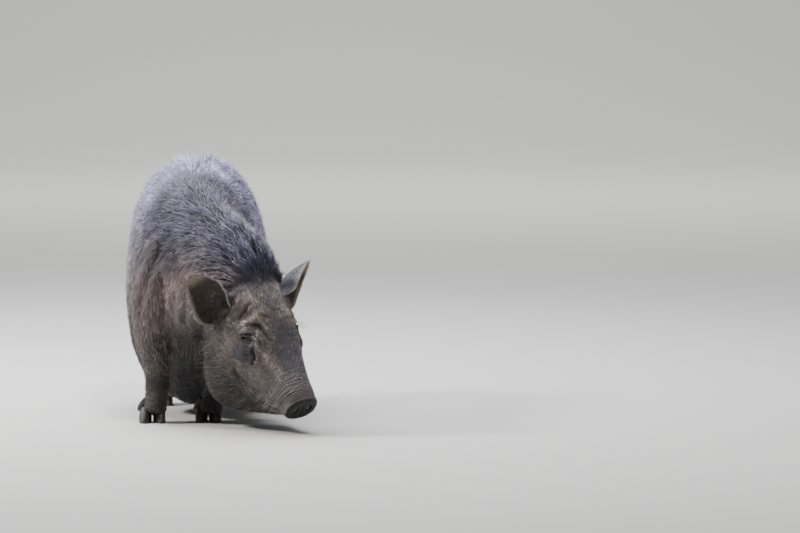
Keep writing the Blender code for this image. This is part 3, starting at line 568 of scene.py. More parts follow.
def shell_faces(rows, columns):
    """Faces of two grids set back to back and closed along their edges."""
    wide, layer = columns + 1, (rows + 1) * (columns + 1)
    faces = []
    for i in range(rows):
        for k in range(columns):
            a = i * wide + k
            faces.append((a, a + 1, a + 1 + wide, a + wide))
            faces.append(tuple(layer + p for p in (a, a + wide, a + 1 + wide, a + 1)))
    edge = list(range(columns))
    edge += [i * wide + columns for i in range(rows)]
    edge += [rows * wide + k for k in range(columns, 0, -1)]
    edge += [i * wide for i in range(rows, 0, -1)]
    for here, there in zip(edge, edge[1:] + edge[:1]):
        faces.append((here, layer + here, layer + there, there))
    return faces


def lid_form(side):
    """The swelling that holds the eye."""
    long_way, up, facing = eye_axes(side)
    return ball_form(eye_centre(side), (long_way, up, facing), LID_HALF)


def all_forms():
    """Every form of flesh with the number of its part."""
    forms = [(TRUNK, trunk_form()), (HEAD, head_form()), (TAIL, tail_form())]
    forms += [(FORELEG if "fore" in name else HINDLEG, leg_form(name)) for name in LEGS]
    for side in SIDES.values():
        forms += [(EAR, ear_form(side)), (HEAD, lid_form(side))]
    return forms


# ---------------------------------------------------------------- skin

# Creases of the face, in the head frame with side made positive: points, width, depth. A negative depth
# raises a fold. Each is drawn on both sides.
FACE_CREASES = (
    (((0.0846, 0.0559, 0.0145), (0.0837, 0.0492, 0.0264), (0.0878, 0.0420, 0.0359), (0.0928, 0.0332, 0.0431),
      (0.1015, 0.0288, 0.0448), (0.1153, 0.0249, 0.0445), (0.1287, 0.0205, 0.0435), (0.1400, 0.0197, 0.0408)),
     0.0030, 0.0030),  # over the brow and down beside the bridge
    (((0.1008, 0.0442, 0.0312), (0.1091, 0.0387, 0.0340), (0.1202, 0.0361, 0.0334), (0.1288, 0.0363, 0.0302),
      (0.1330, 0.0391, 0.0248)), 0.0022, 0.0022),  # round the inner corner
    (((0.1210, 0.0440, 0.0220), (0.1285, 0.0464, 0.0148), (0.1375, 0.0460, 0.0105), (0.1422, 0.0482, 0.0010),
      (0.1425, 0.0509, -0.0068)), 0.0030, 0.0032),  # before the pouch
    (((0.0845, 0.0535, 0.0197), (0.0825, 0.0434, 0.0351), (0.0808, 0.0337, 0.0449), (0.0811, 0.0240, 0.0514)),
     0.0075, -0.0034),  # the brow's ridge
    (((0.0894, 0.0563, 0.0122), (0.0933, 0.0540, 0.0219), (0.0991, 0.0486, 0.0287), (0.1054, 0.0440, 0.0305)),
     0.0018, 0.0034),  # over the lid
    (((0.0664, 0.0543, 0.0223), (0.0635, 0.0467, 0.0341), (0.0590, 0.0365, 0.0460), (0.0516, 0.0257, 0.0537)),
     0.0032, 0.0032),  # from the brow up over the forehead
    (((0.0640, 0.0601, 0.0118), (0.0579, 0.0536, 0.0255), (0.0506, 0.0460, 0.0373), (0.0391, 0.0378, 0.0463)),
     0.0030, 0.0028),
    (((0.0502, 0.0608, 0.0142), (0.0455, 0.0558, 0.0243), (0.0402, 0.0503, 0.0335), (0.0303, 0.0426, 0.0418)),
     0.0034, 0.0036),
    (((0.0413, 0.0640, 0.0060), (0.0400, 0.0590, 0.0200), (0.0360, 0.0500, 0.0340), (0.0264, 0.0424, 0.0419)),
     0.0042, 0.0044),  # before the ear
    (((0.0440, 0.0700, -0.0180), (0.0460, 0.0730, -0.0300), (0.0400, 0.0740, -0.0590),
      (0.0300, 0.0660, -0.0950)), 0.0060, 0.0020),  # behind the cheek
    (((0.1394, 0.0359, 0.0266), (0.1625, 0.0301, 0.0267), (0.1849, 0.0259, 0.0262), (0.2111, 0.0233, 0.0255)),
     0.0080, -0.0030),  # ridge beside the bridge
    (((0.1166, 0.0670, -0.0347), (0.1404, 0.0588, -0.0438), (0.1682, 0.0486, -0.0387),
      (0.1950, 0.0395, -0.0284)), 0.0060, 0.0018),  # below the cheek
    (((0.0960, 0.0030, 0.0550), (0.0860, 0.0160, 0.0540), (0.0760, 0.0300, 0.0490)), 0.0030, 0.0012),
    (((0.1960, 0.0330, -0.0050), (0.2080, 0.0310, -0.0100), (0.2200, 0.0290, -0.0150)), 0.0018, 0.0014),
    (((0.1900, 0.0350, -0.0130), (0.2040, 0.0330, -0.0180), (0.2180, 0.0300, -0.0230)), 0.0018, 0.0012),
)
# Rings of wrinkles round the muzzle behind the disc: distance along, depth, and how far down each side (deg)
MUZZLE_RINGS = ((0.2335, 0.0016, 150), (0.2295, 0.0012, 140), (0.2250, 0.0010, 125), (0.2200, 0.0009, 110),
                (0.2145, 0.0008, 95), (0.2080, 0.0007, 80), (0.2000, 0.0007, 65), (0.1900, 0.0006, 55))
# Folds round the eye: half width and half height, from and to (deg, 0 towards the snout, 90 over the eye),
# width and depth
EYE_FOLDS = (
    (0.0132, 0.0062, 15, 165, 0.0013, 0.0020),
    (0.0130, 0.0070, 195, 345, 0.0012, 0.0016),
    (0.0165, 0.0115, 200, 340, 0.0014, 0.0016),
    (0.0195, 0.0160, 205, 335, 0.0016, 0.0016),
    (0.0225, 0.0210, 215, 325, 0.0018, 0.0014),
    (0.0240, 0.0265, 225, 320, 0.0018, 0.0018),
)
# Swellings of the face in the head frame: place, reach and height
SWELLS = (
    ((0.1175, 0.0566, 0.0000), 0.0140, 0.0040),  # pouch below the eye
    ((0.0880, 0.0490, 0.0330), 0.0120, 0.0030),  # brow
    ((0.1130, 0.0380, 0.0380), 0.0120, 0.0026),
)
# Creases of the body in the pig's own frame, right side: points, width, depth; the left mirrors them
BODY_CREASES = (
    (((-0.020, -0.162, 0.345), (-0.032, -0.157, 0.323), (-0.044, -0.156, 0.299), (-0.059, -0.159, 0.270),
      (-0.071, -0.154, 0.227), (-0.078, -0.143, 0.184)), 0.010, 0.005),  # behind the shoulder
    (((-0.052, -0.150, 0.150), (-0.030, -0.152, 0.158), (-0.008, -0.140, 0.150)), 0.005, 0.003),
    (((-0.058, -0.146, 0.128), (-0.036, -0.150, 0.136), (-0.016, -0.138, 0.132)), 0.004, 0.002),
    (((-0.062, -0.074, 0.155), (-0.060, -0.062, 0.130), (-0.048, -0.058, 0.112)), 0.005, 0.003),
    (((-0.096, 0.170, 0.250), (-0.094, 0.166, 0.200), (-0.080, 0.160, 0.150), (-0.050, 0.150, 0.110)),
     0.009, 0.005),  # before the thigh
    (((0.000, -0.196, 0.250), (-0.012, -0.190, 0.215), (-0.010, -0.178, 0.180)), 0.007, 0.0025),
    (((0.018, -0.214, 0.240), (0.006, -0.208, 0.205), (0.010, -0.196, 0.170)), 0.006, 0.0025),
)
# Wrinkles round each leg: height over the floor and depth
LEG_WRINKLES = ((0.128, 0.0016), (0.112, 0.0012), (0.092, 0.0014), (0.084, 0.0014), (0.076, 0.0012),
                (0.054, 0.0010), (0.047, 0.0014), (0.040, 0.0014), (0.033, 0.0010))
LEG_WRINKLE_WIDTH = 0.0026
FAR_FACE = 0.4  # how deep the creases are on the face's far side, which the photo shows smoother
MOUTH_WIDTH, MOUTH_DEPTH = 0.0020, 0.0046
MUZZLE_RADIUS, MUZZLE_MIDDLE = 0.034, -0.004
MUZZLE_WRINKLE_WIDTH = 0.0012
EYE_FOLD_DROOP, EYE_FOLD_STAND = 0.004, 0.010
# A crease's banks: their distance and width in widths of the crease, and their height against its depth
BANK_PLACE, BANK_WIDTH, BANK_HEIGHT = 2.1, 1.1, 0.45
CREASE_REACH, CREASE_FADE = 5, 2.2  # widths that it reaches, and how soon it is deep from its ends
# Slow hills of the skin: size, seed and height
HILLS = ((0.060, 1, 0.0022), (0.028, 2, 0.0010))
LOOSE_SKIN = 0.0022  # height of the loose folds over the neck and shoulder
# The slit between the lids: distances from the eye's middle in radii, with its size there, how flat the
# lower lid is, how pointed the almond, and how far its inner corner hangs
SLIT_ENDS = ((0.3, 0.9), (2.4, 1.25))
LOWER_ARCH, SLIT_POINT, SLIT_DROOP = 0.75, 0.35, 0.0016
LID_GAP = 0.0003
# Where the skin has a finer grain, and how far the softened seam of an ear reaches
EYE_REACH, MUZZLE_START = 0.033, 0.180
SEAM_PLACE, SEAM_STEPS = 0.085, 4


def part_finder(forms):
    """A tree of all forms' points, with the part's number of each."""
    parts = np.concatenate([np.full(len(points), part) for part, (points, _) in forms])
    return point_tree(np.concatenate([points for _, (points, _) in forms])), parts


def parts_of(places, finder):
    tree, parts = finder
    return parts[[tree.find(place)[1] for place in places]]


def fuse_skin(forms):
    """One skin of the whole pig: the trunk, head, legs and tail first, then the finer ears."""
    points, faces = [], []
    for part, (places, rings) in forms:
        if part != EAR:
            start = sum(len(p) for p in points)
            points.append(places)
            faces += [tuple(start + k for k in face) for face in rings]
    skin = mesh_object("skin", np.vstack(points), faces)
    fuse(skin, SKIN_VOXEL, SKIN_SMOOTHING)
    return skin


def add_ears(skin, forms):
    """Fuses the ears to the skin and softens the seams."""
    outlines = []
    for part, (places, faces) in forms:
        if part == EAR:
            ear = mesh_object("ear", places, faces)
            fuse(ear, EAR_VOXEL, EAR_SMOOTHING)
            outlines.append(surface_tree(ear.data))
            combine(skin, ear, "UNION")
    soften_seams(skin.data, outlines)


def soften_seams(mesh, outlines):
    """Smooths the skin where the ears leave it: near a root, and near an ear's own surface."""
    places, seam = rows_of(mesh), set()
    with editing(mesh) as work:
        work.verts.ensure_lookup_table()
        for side, outline in zip(SIDES.values(), outlines):
            for i in np.flatnonzero(distance(places, ear_root(side)) < SEAM_PLACE):
                if is_seam(work.verts[i], outline):
                    seam.update(around(work.verts[i], SEAM_STEPS))
        soften(work, seam, SEAM_SMOOTHING)


def is_seam(vert, outline):
    """True where one end of an edge lies on the ear and the other doesn't."""
    if outline.find_nearest(vert.co)[3] > 1e-5:
        return False
    return any(outline.find_nearest(e.other_vert(vert).co)[3] > 1e-4 for e in vert.link_edges)


def around(vert, steps):
    """A vertex and its neighbours, this many edges out."""
    found, edge = {vert}, {vert}
    for _ in range(steps):
        edge = {e.other_vert(v) for v in edge for e in v.link_edges} - found
        found |= edge
    return found


def refine(mesh, chosen):
    """Halves the grain of the skin where chosen says, and rounds it again."""
    with editing(mesh) as work:
        edges = [e for e in work.edges if chosen[e.verts[0].index] and chosen[e.verts[1].index]]
        made = bmesh.ops.subdivide_edges(work, edges=edges, cuts=1, use_grid_fill=True)
        bmesh.ops.triangulate(work, faces=[f for f in work.faces if len(f.verts) > 4])
        fresh = [v for v in made["geom"] if isinstance(v, bmesh.types.BMVert)]
        soften(work, {v for f in fresh for e in f.link_edges for v in e.verts}, 2)


def line_distance(places, line):
    """Each place's distance from the line, and how far along it that is, from 0 to 1."""
    best = np.full(len(places), 1e9)
    share = np.zeros(len(places))
    for i in range(len(line) - 1):
        step = line[i + 1] - line[i]
        t = np.clip((places - line[i]) @ step / (step @ step), 0, 1)
        gap = np.linalg.norm(places - (line[i] + t[:, None] * step), axis=1)
        closer = gap < best
        best[closer] = gap[closer]
        share[closer] = ((i + t) / (len(line) - 1))[closer]
    return best, share


def press(places, lift, line, width, depth):
    """Adds a crease with raised banks along the line to the lift of each place."""
    line = smooth_rows(line, 4)
    low, high = line.min(0) - width * CREASE_REACH, line.max(0) + width * CREASE_REACH
    near = np.flatnonzero(np.all((places > low) & (places < high), axis=1))
    gap, share = line_distance(places[near], line)
    fade = np.clip(np.sin(math.pi * np.clip(share, 0.02, 0.98)) * CREASE_FADE, 0, 1)
    groove = np.exp(-((gap / width) ** 2))
    banks = np.exp(-(((gap - BANK_PLACE * width) / (BANK_WIDTH * width)) ** 2))
    lift[near] += depth * fade * (BANK_HEIGHT * banks - groove)


def on_skin(tree, points):
    return nearest(tree, [Vector(p) for p in points])[0]


def swell_lift(places):
    """How far the swellings of the face raise each place."""
    lift = np.zeros(len(places))
    for side in SIDES.values():
        for place, reach, height in SWELLS:
            lift += height * np.exp(-((distance(places, head_point(place, side)) / reach) ** 2))
    return lift


def face_lift(places, tree):
    """How far the creases of the face move each place of the skin."""
    lift = np.zeros(len(places))
    for side in SIDES.values():
        for points, width, depth in FACE_CREASES:
            line = on_skin(tree, [head_point(p, side) for p in points])
            press(places, lift, line, width, depth * (FAR_FACE if side == SIDES["left"] else 1.0))
        for *fold, width, depth in EYE_FOLDS:
            press(places, lift, on_skin(tree, eye_fold(side, *fold)), width, depth)
    rng = np.random.default_rng(5)
    for along, depth, reach in MUZZLE_RINGS:
        for middle in (-0.6 * reach, 0.1 * reach, 0.7 * reach):
            line = on_skin(tree, muzzle_wrinkle(along, middle, reach, rng))
            press(places, lift, line, MUZZLE_WRINKLE_WIDTH, depth * rng.uniform(0.6, 1.2))
    return lift


def eye_fold(side, wide, high, start, end):
    """A fold's points on an oval round the eye that droops towards the snout."""
    long_way, up, facing = eye_axes(side)
    line = []
    for turn in np.radians(np.linspace(start, end, 9)):
        rise = high * math.sin(turn) - EYE_FOLD_DROOP * math.cos(turn)
        offset = long_way * (wide * math.cos(turn)) + up * rise
        line.append(eye_centre(side) + offset + facing * EYE_FOLD_STAND)
    return line


def muzzle_wrinkle(along, middle, reach, rng):
    """A wavering piece of a ring round the muzzle."""
    middle += rng.uniform(-15, 15)
    half = rng.uniform(0.24, 0.42) * reach
    lean = rng.normal(0, 0.0012)
    line = []
    for turn in np.radians(np.linspace(middle - half, middle + half, 9)):
        wave = lean * math.sin(turn * 2) + 0.0006 * math.sin(9 * turn + along * 900)
        out = MUZZLE_RADIUS * math.cos(turn) + MUZZLE_MIDDLE
        line.append(head_point((along + wave, MUZZLE_RADIUS * math.sin(turn), out)))
    return line


def mouth_lift(places, tree):
    """The line of the mouth with its lips, along both sides of the muzzle."""
    lift = np.zeros(len(places))
    for side in SIDES.values():
        line = []
        for along, out in smooth_rows(MOUTH_PATH, 3):
            outwards = head_axes()[1] * side
            line.append(tree.ray_cast(head_point((along, 0, out)), outwards)[0])
        press(places, lift, np.array(line), MOUTH_WIDTH, MOUTH_DEPTH)
    return lift


def crease_shade(places, tree):
    """Less light down in the creases of the face, more on their banks."""
    lift = face_lift(places, tree) + mouth_lift(places, tree)
    return (1 - 0.60 * ramp(-lift, 0.0003, 0.0026)) * (1 + 0.30 * ramp(lift, 0.0002, 0.0014))


def mirrored(point):
    """The same place on the pig's left side, in the row's frame."""
    midline = SHOULDER_MIDLINE if point[1] < 0.05 else HIND_MIDLINE
    return Vector((2 * midline - point[0], point[1], point[2])) + SHIFT


def fold_lift(places, tree):
    """How far the folds of the body, on both sides, move each place."""
    lift = np.zeros(len(places))
    for points, width, depth in BODY_CREASES:
        press(places, lift, on_skin(tree, [Vector(p) + SHIFT for p in points]), width, depth)
        press(places, lift, on_skin(tree, [mirrored(p) for p in points]), width, depth)
    return lift


def fold_shade(places, tree):
    """Less light down in the folds of the body."""
    return 1 - 0.45 * ramp(-fold_lift(places, tree), 0.0006, 0.0040)


def body_lift(places, tree, parts):
    """The folds of the body, and wavering rings of wrinkles round the legs."""
    lift = fold_lift(places, tree)
    legs = np.isin(parts, (FORELEG, HINDLEG))
    waver = lattice_noise(places, 0.018, 3) * 0.004
    for height, depth in LEG_WRINKLES:
        gap = (places[:, 2] + waver - height) / LEG_WRINKLE_WIDTH
        lift[legs] -= (depth * np.exp(-(gap**2)))[legs]
    return lift


def muscle_lift(places, parts):
    """Slow swells of fat and muscle, and loose skin over the neck and shoulder."""
    swell = sum(lattice_noise(places, size, seed) * height for size, seed, height in HILLS)
    turned = places * np.array([1.0, 2.2, 0.8])
    loose = np.abs(lattice_noise(turned, 0.022, 4)) - 0.4
    front = ramp(-places[:, 1], -0.02, 0.12) * (parts == TRUNK)
    calm = np.where(parts == TRUNK, 1.0, 0.45)
    return swell * calm + loose * LOOSE_SKIN * front


def ear_lift(places):
    """Veins and folds inside the ears, faint enough for their thin rims."""
    return lattice_noise(places * np.array([1, 1, 0.5]), 0.009, 6) * 0.0005


def make_skin(forms, finder):
    """The whole skin: fused, refined at the head, given its ears and folds, and opened at the eyes."""
    skin = fuse_skin(forms)
    refine(skin.data, parts_of(rows_of(skin.data), finder) == HEAD)
    places = rows_of(skin.data)
    close = in_head(places)[:, 0] > MUZZLE_START
    for side in SIDES.values():
        close |= distance(places, eye_centre(side)) < EYE_REACH
    refine(skin.data, close)
    add_ears(skin, forms)
    places, normals = rows_of(skin.data), rows_of(skin.data, "normal")
    parts = parts_of(places, finder)
    tree = surface_tree(skin.data)
    lift = muscle_lift(places, parts) + face_lift(places, tree) + mouth_lift(places, tree)
    lift = lift + swell_lift(places) + body_lift(places, tree, parts)
    lift = np.where(parts == EAR, ear_lift(places), lift)
    lift -= COAT_DEPTH * np.where(parts == HEAD, 0.6, 1.0)
    move_to(skin.data, places + normals * lift[:, None])
    open_eyes(skin)
    return skin


def open_eyes(skin):
    """Hollows the lids for the eyeballs and slits them open."""
    room = (EYE_RADIUS + LID_GAP,) * 3
    for side in SIDES.values():
        hollow = ball_form(eye_centre(side), eye_axes(side), room, 24, 36)
        combine(skin, mesh_object("hollow", *hollow), "DIFFERENCE")
        combine(skin, eye_slit(side), "DIFFERENCE")


def eye_slit(side):
    """An almond prism, its upper edge more arched than its lower and its inner corner drawn down."""
    long_way, up, facing = eye_axes(side)
    points, count = [], 32
    for reach, size in SLIT_ENDS:
        for turn in (2 * math.pi * k / count for k in range(count)):
            across = math.cos(turn) * EYE_OPENING[0] * size
            arch = 1.0 if math.sin(turn) > 0 else LOWER_ARCH
            rise = math.sin(turn) * abs(math.sin(turn)) ** SLIT_POINT * EYE_OPENING[1] * size * arch
            middle = eye_centre(side) + facing * (EYE_RADIUS * reach)
            points.append(middle + long_way * across + up * (rise - SLIT_DROOP * math.cos(turn)))
    return mesh_object("slit", points, stack_faces(2, count))


# ---------------------------------------------------------------- colours


def shade(red, green, blue):
    """A colour given by its look on a screen, as the linear light that materials use."""
    part = np.array([red, green, blue]) / 255
    return np.where(part < 0.04045, part / 12.92, ((part + 0.055) / 1.055) ** 2.4)


CREST = shade(67, 64, 81)  # neck and withers
# The back's slate is the bristles' grey, made paler and bluer by a painted sky sheen
SLATE_AND_SHEEN = shade(137, 137, 162)  # back
ASH = shade(126, 119, 124)  # flanks
TAUPE = shade(133, 119, 116)  # shoulder
CHEEK = shade(105, 95, 90)
BRIDGE = shade(94, 89, 96)  # top of the nose
WARM = shade(138, 125, 118)  # brows
# Near black: the own colour of the feet, tail tip and lashes, and painted shade on the belly and under the
# jaw
DARK_AND_SHADE = shade(31, 29, 33)  # belly and feet
LID = shade(45, 44, 55)  # lids and the pouch below the eye
UMBER = shade(98, 88, 84)  # legs
EAR_RIM = shade(168, 154, 140)
EAR_INSIDE = shade(64, 55, 47)
MUZZLE = shade(124, 112, 116)
STRAW = shade(176, 164, 150)  # pale wisps
# The dark hollow before and below an eye, in the head frame
PATCH_PLACE = (0.1175, 0.0556, 0.0000)
PATCH_WAY = (0.795, -0.378, 0.473)
PATCH_HALF, LIDS_HALF = (0.0235, 0.0165), (0.0175, 0.0095)
ANGLE_BATCH = 20000  # places whose turns are worked out at once


def trunk_angle(places, steps=4):
    """Each place's turn from the ridge (0 to pi, its sign to the left), the share of the way to the nape,
    and the trunk's sideways, upward and forward directions there."""
    rows, ways, frames = trunk_path(steps)
    rings = np.argmin(np.linalg.norm(places[:, None, :] - rows[None, :, :3], axis=2), axis=1)
    offset = places - rows[rings, :3]
    side, up = (np.array([list(frame[k]) for frame in frames])[rings] for k in (0, 1))
    way = np.array([list(w) for w in ways])[rings]
    angle = np.arctan2(np.einsum("ij,ij->i", offset, side), np.einsum("ij,ij->i", offset, up))
    return angle, rings / (len(rows) - 1), side, up, way


def unwrapped(angle, share):
    """Places on a map: a turn round a form's middle, and a share of the way along it."""
    return np.stack([(angle + math.pi) / (2 * math.pi), share], 1)


def hide_colours(places, parts):
    """The pig's markings, with painted shade on the belly and jaw and a painted sheen on the back: the same
    on the skin and on the roots of its coat.
    """
    broad = lattice_noise(places, 0.050, 8) * 0.5 + lattice_noise(places, 0.021, 9) * 0.35
    colours = np.tile(TAUPE, (len(places), 1))
    body = np.flatnonzero(np.isin(parts, (TRUNK, FORELEG, HINDLEG)))
    colours[body] = body_colours(places[body], broad[body], parts[body] != TRUNK)
    head = np.flatnonzero(parts == HEAD)
    colours[head] = head_colours(places[head], broad[head])
    colours[parts == EAR] = mix(CREST, ASH, 0.3 * ramp(broad[parts == EAR], -0.3, 0.5))
    colours[parts == TAIL] = UMBER
    return colours * (1 + 0.16 * broad[:, None])


def body_colours(places, broad, legs):
    """Slate back with a painted sky sheen along its top, dark crest, paler flanks and shoulders, dark feet,
    and a dark belly deepened by painted shade.
    """
    angle, station = np.empty(len(places)), np.empty(len(places))
    for start in range(0, len(places), ANGLE_BATCH):
        piece = slice(start, start + ANGLE_BATCH)
        angle[piece], station[piece] = trunk_angle(places[piece])[:2]
    turn = np.abs(np.degrees(angle)) + 16 * broad
    front = ramp(station, 0.42, 0.66)[:, None]
    sides = ASH * (1 - front) + TAUPE * front
    # The top is slate with a painted sky sheen, turning to the dark crest towards the nape
    top = SLATE_AND_SHEEN * (1 - front) + CREST * front
    height = places[:, 2] + 0.035 * broad
    return layered(
        top,
        (sides, ramp(turn + 10 * broad, 24, 92)),
        # painted shade over the underside, which is also dark of itself
        (DARK_AND_SHADE, 0.8 * ramp(turn, 112, 155)),
        (UMBER, legs * ramp(-height, -0.165, -0.115)),
        # painted shade over the low belly
        (DARK_AND_SHADE, 0.85 * ~legs * ramp(-height, -0.215, -0.105)),
        (DARK_AND_SHADE, 0.75 * ramp(-height, -0.115, -0.035)),
    )


def head_colours(places, broad):
    """Warm brows, grey bridge, dark mane, painted shade under the jaw, paler muzzle and the dark hollows of
    the eyes.
    """
    along, left, out = in_head(places).T
    brow = np.hypot((along - 0.075) / 0.042, (np.abs(left) - 0.042) / 0.026) + 0.22 * broad
    bridge = ramp(-np.abs(left - 0.010) + 0.004 * broad, -0.032, -0.016) * ramp(along, 0.090, 0.125)
    return layered(
        np.tile(CHEEK, (len(places), 1)),
        (WARM, ramp(-brow, -1.5, -0.6) * ramp(out, 0.004, 0.026)),
        (BRIDGE, bridge * ramp(out, 0.0, 0.03)),
        (CREST, ramp(-along + 0.012 * broad, -0.060, 0.020) * ramp(out, -0.01, 0.03)),
        (MUZZLE, 0.85 * ramp(along, 0.170, 0.225)),
        # painted shade under the jaw
        (DARK_AND_SHADE, 0.92 * ramp(-out + 0.012 * broad, 0.018, 0.076)),
        (DARK_AND_SHADE, 0.3 * ramp(along, 0.229, 0.237)),
        *((LID, eye_patch(places, side, broad)) for side in SIDES.values()),
    )


def eye_patch(places, side, broad):
    """How dark the lids and the wrinkled hollow below and before an eye are."""
    long_way, up, facing = arrays(eye_axes(side))
    offset = places - np.array(eye_centre(side))
    lids = np.hypot(offset @ long_way / LIDS_HALF[0], offset @ up / LIDS_HALF[1])
    way = np.array(head_way(PATCH_WAY, side))
    hollow = places - np.array(head_point(PATCH_PLACE, side))
    ahead = hollow @ way
    aside = np.linalg.norm(hollow - ahead[:, None] * way, axis=1)
    spot = np.minimum(np.hypot(ahead / PATCH_HALF[0], aside / PATCH_HALF[1]), lids) + 0.16 * broad
    return 0.9 * ramp(-spot, -1.35, -0.65) * (offset @ facing > -0.012)


def paint(mesh, colours):
    """Stores a colour for each vertex, for the material to read."""
    layer = mesh.color_attributes.new("tint", "FLOAT_COLOR", "POINT")
    rgba = np.ones((len(colours), 4), np.float32)
    rgba[:, :3] = colours
    layer.data.foreach_set("color", rgba.ravel())


def on_ear(places, side):
    """Share of the way to the tip, share of the way to an edge, and height over the ear's sheet."""
    way, across, facing = arrays(ear_axes(side))
    offset = places - np.array(ear_root(side)) + way * EAR_SUNK
    t = offset @ way / EAR_LENGTH
    width = EAR_HALF_WIDTH * np.interp(t, *EAR_OUTLINE)
    s = (offset @ across - ear_bow(t, side)) / width
    dip = EAR_DIP * np.clip(1 - t / EAR_DIP_SHARE, 0, 1) ** 2
    sheet = np.interp(t, *EAR_CUP) * (s * s - 1) + EAR_CURL * t * t - dip
    return t, s, offset @ facing - sheet


def ear_colours(places, colours, parts):
    """Inside each ear the skin is darker, and its rim paler."""
    for side in SIDES.values():
        t, s, height = on_ear(places, side)
        mine = (parts == EAR) & (t > -0.1) & (t < 1.15) & (np.abs(s) < 1.3)
        edge = np.maximum(np.abs(s), np.clip(t, 0, 1) ** 0.6)
        rim = ramp(edge[mine], 0.82, 0.95)
        inside = ramp(height[mine], -0.0006, 0.0006)
        colours[mine] = layered(colours[mine], (EAR_INSIDE, inside), (EAR_RIM, rim * (0.5 + 0.5 * inside)))
    return colours


# ---------------------------------------------------------------- materials

NOISE, CELLS, WAVES = "ShaderNodeTexNoise", "ShaderNodeTexVoronoi", "ShaderNodeTexWave"


class Look:
    """A material whose tint and bumps come from textures."""

    def __init__(self, name, roughness, specular, **sockets):
        self.material = bpy.data.materials.new(name)
        self.material.use_nodes = True
        self.tree = self.material.node_tree
        self.shader = self.tree.nodes["Principled BSDF"]
        self.bumped = None
        self.put(self.shader, {"Roughness": roughness, "Specular IOR Level": specular})
        self.put(self.shader, {socket.replace("_", " "): value for socket, value in sockets.items()})

    def put(self, node, inputs):
        """Sets a node's inputs to values, or links them to outputs."""
        for socket, value in inputs.items():
            if isinstance(value, bpy.types.NodeSocket):
                self.tree.links.new(value, node.inputs[socket])
            else:
                node.inputs[socket].default_value = value
        return node

    def node(self, kind, inputs):
        return self.put(self.tree.nodes.new(kind), inputs)

    def texture(self, kind, scale, stretch=(1, 1, 1), **settings):
        """A texture read by the object's own coordinates, stretched along some of them."""
        place = self.node("ShaderNodeTexCoord", {})
        mapping = self.node("ShaderNodeMapping", {"Scale": stretch, "Vector": place.outputs["Object"]})
        made = self.node(kind, {"Vector": mapping.outputs["Vector"], "Scale": scale, **settings})
        return made.outputs["Distance" if kind == CELLS else "Fac"]

    def tint(self, factor, dark, light):
        """The painted tint, made darker and lighter by a texture."""
        ends = {"From Min": 0.3, "From Max": 0.7, "To Min": dark, "To Max": light}
        spread = self.node("ShaderNodeMapRange", {"Value": factor, **ends})
        painted = self.node("ShaderNodeAttribute", {})
        painted.attribute_name = "tint"
        scaled = self.node("ShaderNodeVectorMath", {})
        scaled.operation = "SCALE"
        self.put(scaled, {0: painted.outputs["Color"], "Scale": spread.outputs["Result"]})
        self.put(self.shader, {"Base Color": scaled.outputs["Vector"]})

    def bump(self, height, strength, distance):
        """One more bump on those before it."""
        made = self.node("ShaderNodeBump", {"Strength": strength, "Distance": distance, "Height": height})
        if self.bumped:
            self.put(made, {"Normal": self.bumped.outputs["Normal"]})
        self.put(self.shader, {"Normal": made.outputs["Normal"]})
        self.bumped = made


def skin_material():
    """Leathery hide: speckled, creased in small cells, with pores."""
    look = Look("pig_skin", 0.62, 0.35, Sheen_Weight=0.12, Sheen_Roughness=0.5)
    look.tint(look.texture(NOISE, 520, Detail=4, Roughness=0.7), 0.55, 1.25)
    look.bump(look.texture(NOISE, 90, (1, 2, 1), Detail=5, Roughness=0.65), 0.5, 0.0016)
    look.bump(look.texture(CELLS, 300, (1, 1.3, 0.8)), 0.45, 0.0007)
    look.bump(look.texture(NOISE, 1400, Detail=2), 0.35, 0.0003)
    return look.material


def hair_material():
    """Stiff bristles with a soft gloss."""
    look = Look("bristle", 0.46, 0.55)
    look.tint(look.texture(NOISE, 700, Detail=2), 0.72, 1.2)
    return look.material


def snout_material():
    """Bare, slightly damp skin, finely pebbled."""
    look = Look("snout_skin", 0.50, 0.3)
    look.tint(look.texture(NOISE, 160, Detail=4), 0.7, 1.35)
    look.bump(look.texture(NOISE, 240, Detail=5), 0.5, 0.0010)
    look.bump(look.texture(CELLS, 620), 0.5, 0.0005)
    return look.material


def horn_material():
    """Dull claw horn with growth rings and scuffs."""
    look = Look("claw_horn", 0.55, 0.4)
    scuffs = look.texture(NOISE, 260, Detail=5)
    look.tint(scuffs, 0.65, 1.4)
    look.bump(look.texture(WAVES, 180, (0.15, 0.35, 1), Distortion=3.0, Detail=3), 0.35, 0.0006)
    look.bump(scuffs, 0.3, 0.0004)
    return look.material


def eye_material():
    look = Look("wet_eye", 0.16, 0.4, Coat_Weight=0.3, Coat_Roughness=0.08)
    look.tint(look.texture(NOISE, 900, Detail=3), 0.8, 1.2)
    return look.material


def floor_material():
    look = Look("floor", 0.85, 0.2, Base_Color=(0.54, 0.535, 0.52, 1))
    look.bump(look.texture(NOISE, 6, Detail=4), 0.05, 0.002)
    return look.material


# ---------------------------------------------------------------- coat

# Tufts to a square metre
BACK_DENSITY, FLANK_DENSITY, BELLY_DENSITY = 125000, 84000, 36000
FACE_DENSITY, LEG_DENSITY, EAR_DENSITY, TAIL_DENSITY = 260000, 95000, 130000, 110000
LONG_STAGES = ((0.0, 0.70), (0.34, 1.0), (0.70, 0.62))  # share of the length and of the width; then the tip
SHORT_STAGES = ((0.0, 0.85), (0.50, 0.80))
PATCH = 0.003  # size of a tuft on the bake's map
